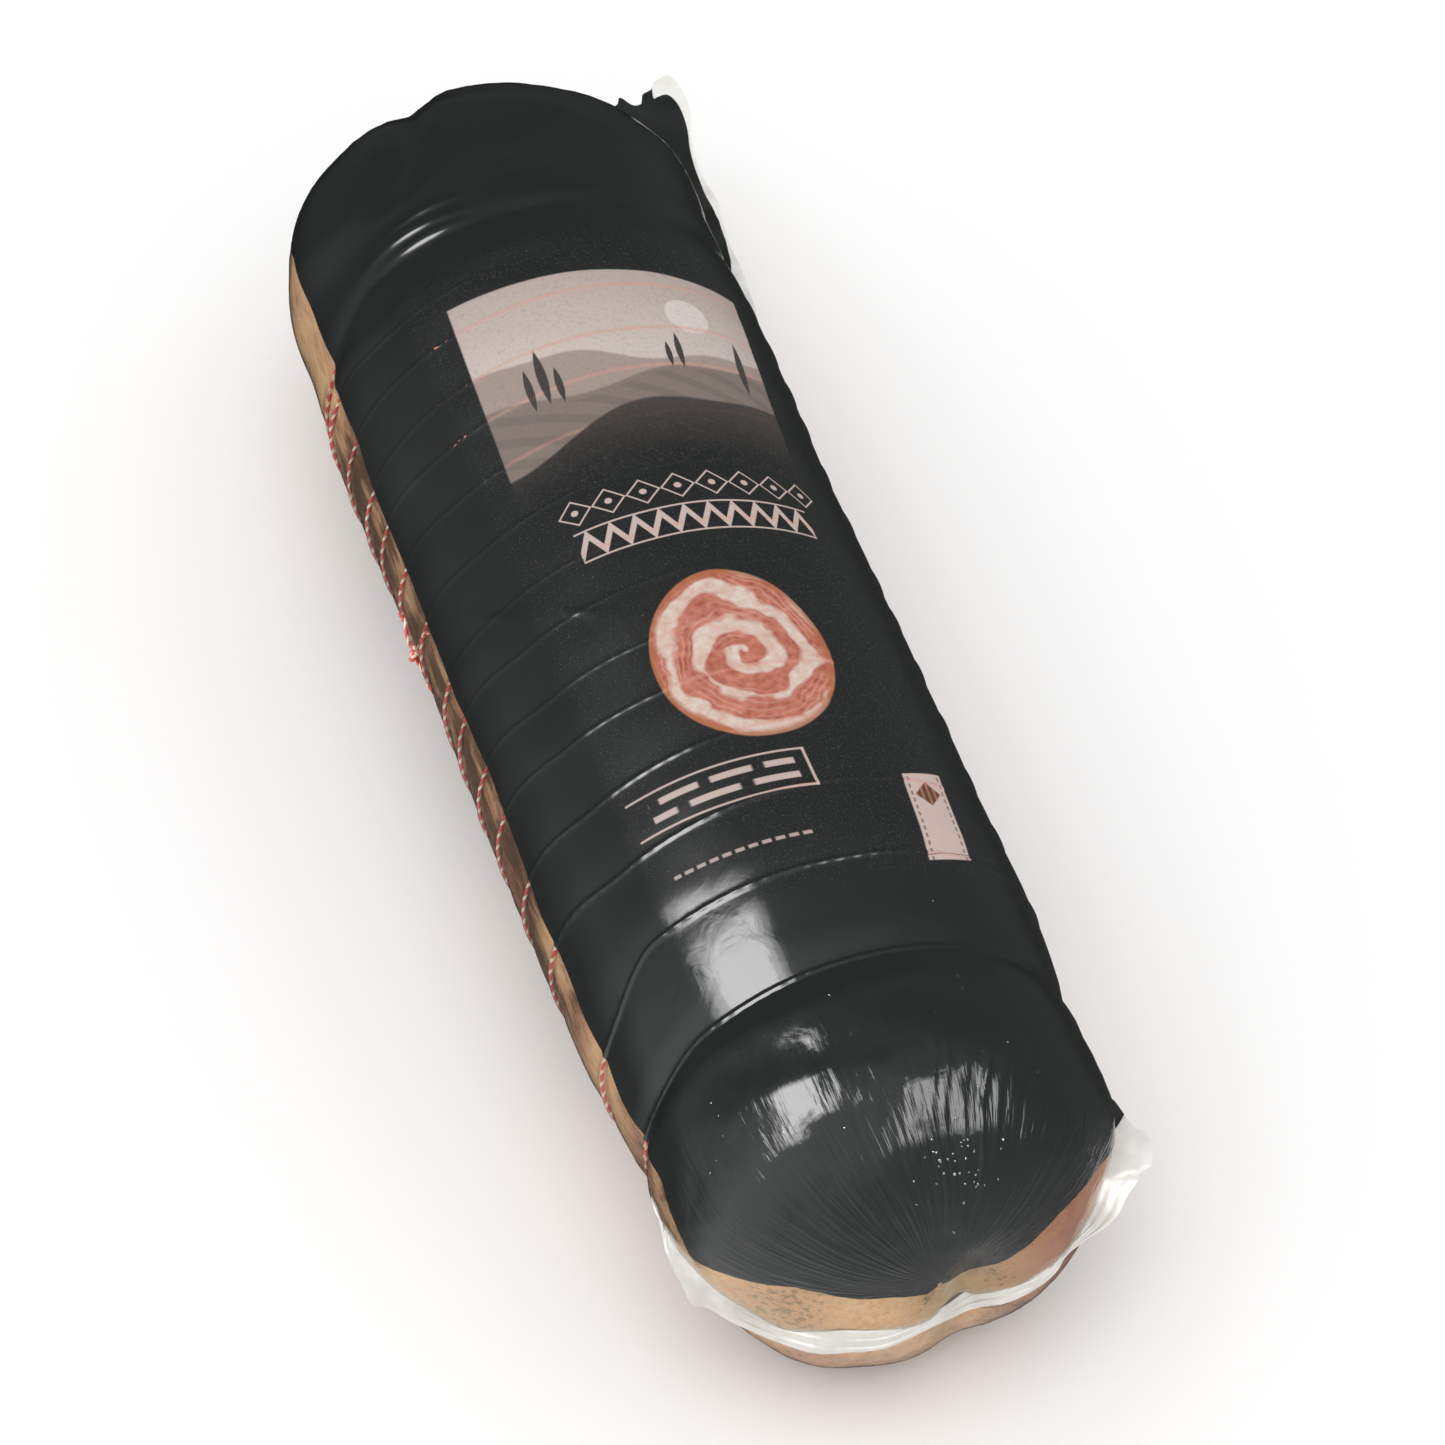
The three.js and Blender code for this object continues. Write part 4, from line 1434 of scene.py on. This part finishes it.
def far_share():
    """The weld's width beyond the black grows at the outer corner; the rest of the fin is black. At the far
    side the black reaches the edge."""
    edge, root, _ = far_fin
    x, y, _ = edge.T
    weld = np.interp(y, *np.transpose(FAR_WELD))
    at_far_side = smooth_step(y, 212, 215) * smooth_step(x, 66.5, 64.5)
    share = 1 - weld * (1 - at_far_side) / np.linalg.norm(edge - root, axis=1)
    return np.where(x > FAR_BLACK_FROM, share + 0.02 * at_far_side, 0)


def near_share():
    """Black only at the near ear's inner corner."""
    x, y, _ = near_fin[0].T
    return np.where(x > 20, np.interp(y, *np.transpose(NEAR_CORNER)), 0)


def ear_film_material():
    """The same black plastic without a design."""
    paint = Paint("black_ear_film")
    creases = paint.noise(paint.place(), 160, detail=2)
    return paint.finish(paint.surface(
        Base_Color=paint.mix(creases, BLACK_FILM, tone(40, 42, 42)),
        Roughness=0.18,
        Normal=paint.bump(creases, 0.25, 0.0006),
    ))


ear_film = ear_film_material()
dress(make_piece("far_ear_print", *black_ear(far_fin, far_share(), 43), ear_film))
dress(make_piece("near_ear_print", *black_ear(near_fin, near_share(), 41), ear_film))

# %% [markdown]
# ## Water drops
#
# A chilled pack is damp. A few dozen tiny drops lie on the near end, most of them in one patch. Each is a low
# dome on the film, a few rings of points round the direction in which the film faces there.

# %% Drops
DROP_SIDES = 10
DROP_SEED = 61
PATCH_DROPS = 38
SCATTERED_DROPS = 16
DROP_HEIGHT = 0.17
DROP_RINGS = [(0.5, -0.12), (1.0, 0.0), (0.9, 0.28), (0.62, 0.46), (0.25, 0.55)]


def film_place_and_frame(along, turn):
    """A point on the print and two directions along the film and the one that points out of it, from small
    steps along the roll and round it."""
    step = 0.4
    alongs = np.array([along, along + step, along])
    turns = np.array([turn, turn, turn + step / HALF_WIDTH])
    here, further, beside = roll_points(alongs, turns, film_lift(alongs, turns) + DROP_HEIGHT)
    ahead = further - here
    outward = np.cross(ahead, beside - here)
    outward /= np.linalg.norm(outward)
    ahead /= np.linalg.norm(ahead)
    return here, ahead, np.cross(outward, ahead), outward


def drop(along, turn, radius):
    """Rings of a low dome, each a share of the radius wide and high."""
    here, ahead, aside, outward = film_place_and_frame(along, turn)
    side = np.linspace(0, 2 * math.pi, DROP_SIDES, endpoint=False)[:, None]
    circle = np.cos(side) * ahead + np.sin(side) * aside
    rings = [here + radius * (width * circle + height * outward) for width, height in DROP_RINGS]
    points, faces = loft(np.array(rings))
    return points, faces, np.zeros(len(points))


def drop_places():
    """One dense patch and a thin scatter over the near end: a place along the roll, degrees and a radius for
    each drop."""
    rng = np.random.default_rng(DROP_SEED)
    many, few = PATCH_DROPS, SCATTERED_DROPS
    patch = [rng.normal(-192, 2.6, many), rng.normal(79, 9, many), rng.uniform(0.2, 0.42, many)]
    rest = [rng.uniform(-192, -120, few), rng.uniform(50, 150, few), rng.uniform(0.15, 0.32, few)]
    return np.concatenate([np.stack(patch, axis=1), np.stack(rest, axis=1)])


def water_material():
    paint = Paint("water")
    ripples = paint.noise(paint.place(), 300, detail=1)
    return paint.finish(glassy(paint, 0.02, paint.bump(ripples, 0.05, 0.0002), least=0.2))


points, faces, _ = joined([drop(a, math.radians(t), r) for a, t, r in drop_places()])
dress(make_piece("water_drops", points, faces, water_material()))

# %% [markdown]
# ## Floor and light
#
# The photograph was taken on white under soft lights. Black film shows hardly more than their mirror images,
# and the directions of these say where things stood: a large panel high on the left, a weaker one over the
# near end, brightness in front and to the left, and a dark room behind. So gloss gets a studio of its own,
# two panels and a world that is darker behind, while dull surfaces get even light and one soft panel. Each
# panel is a stack of smaller ones, so that its image fades towards its edge. The floor is a plain pale plane
# that catches the shadow.

# %% Floor
FLOOR_HALF = 6.0


def make_floor():
    corners = [(-FLOOR_HALF, -FLOOR_HALF, 0), (FLOOR_HALF, -FLOOR_HALF, 0), (FLOOR_HALF, FLOOR_HALF, 0),
               (-FLOOR_HALF, FLOOR_HALF, 0)]
    mesh = bpy.data.meshes.new("floor")
    mesh.from_pydata(corners, [], [(0, 1, 2, 3)])
    paint = Paint("pale_floor")
    mesh.materials.append(paint.finish(paint.surface(Base_Color=(0.92, 0.92, 0.92), Roughness=0.9)))
    floor = bpy.data.objects.new("floor", mesh)
    floor.visible_glossy = False
    bpy.context.scene.collection.objects.link(floor)


make_floor()

# %% Lights
def panel_light(name, direction, distance, along, across, radiance, for_gloss=True):
    """A panel that faces the roll, with one side along it. Its power is radiance times pi times its area. It
    lights either gloss or dull surfaces."""
    data = bpy.data.lights.new(name, "AREA")
    data.shape = "RECTANGLE"
    data.size = along
    data.size_y = across
    data.energy = radiance * math.pi * along * across
    light = bpy.data.objects.new(name, data)
    away = Vector(direction).normalized()
    ahead = (Vector((0, 1, 0)) - away * away.y).normalized()
    matrix = Matrix((ahead, away.cross(ahead), away)).transposed().to_4x4()
    matrix.translation = Vector(to_frame((0, 0, 0))) + away * distance
    light.matrix_world = matrix
    light.visible_camera = False
    light.visible_glossy = for_gloss
    light.visible_diffuse = not for_gloss
    bpy.context.scene.collection.objects.link(light)


KEY_WAY = (-0.575, 0.11, 0.811)
NEAR_WAY = (0.33, -0.5, 0.8)
panel_light("key_panel", KEY_WAY, 1.66, 1.3, 1.14, 3.5)
panel_light("key_middle", KEY_WAY, 1.63, 1.14, 0.92, 4.0)
panel_light("key_core", KEY_WAY, 1.6, 0.96, 0.66, 5.0)
panel_light("near_panel", NEAR_WAY, 1.64, 1.44, 0.88, 2.6)
panel_light("near_core", NEAR_WAY, 1.6, 1.1, 0.5, 4.0)
panel_light("soft_panel", (-0.25, -0.35, 0.9), 1.6, 1.4, 1.4, 0.85, for_gloss=False)


# %% World
def studio_world():
    """Even white for all rays but glossy ones. Those see a brightness that falls off smoothly towards the far
    side and the ground under the flanks, less a slope of the right component."""
    world = bpy.data.worlds.new("studio")
    paint = Paint("studio", world)
    way = paint.node("ShaderNodeTexCoord", output="Generated")
    split = "ShaderNodeSeparateXYZ"
    right, ahead, up = (paint.node(split, {}, {"Vector": way}, output=axis) for axis in "XYZ")
    in_front = ahead.below(0.42, 0.65)
    under_flank = up.below(-0.3, 0.4) * ahead.above(0.2, 0.5)
    seen_in_gloss = in_front * (0.64 - right * 0.55) * (1 - ahead.below(-0.85, 0.3) * 0.4) + 0.08
    glossy = paint.node("ShaderNodeLightPath", output="Is Glossy Ray")
    level = seen_in_gloss * (1 - under_flank * 0.8) * glossy + (1 - glossy)
    paint.finish(paint.node("ShaderNodeBackground", {}, {"Color": level}), "ShaderNodeOutputWorld")
    return world


bpy.context.scene.world = studio_world()
bpy.context.scene.view_settings.view_transform = "Standard"
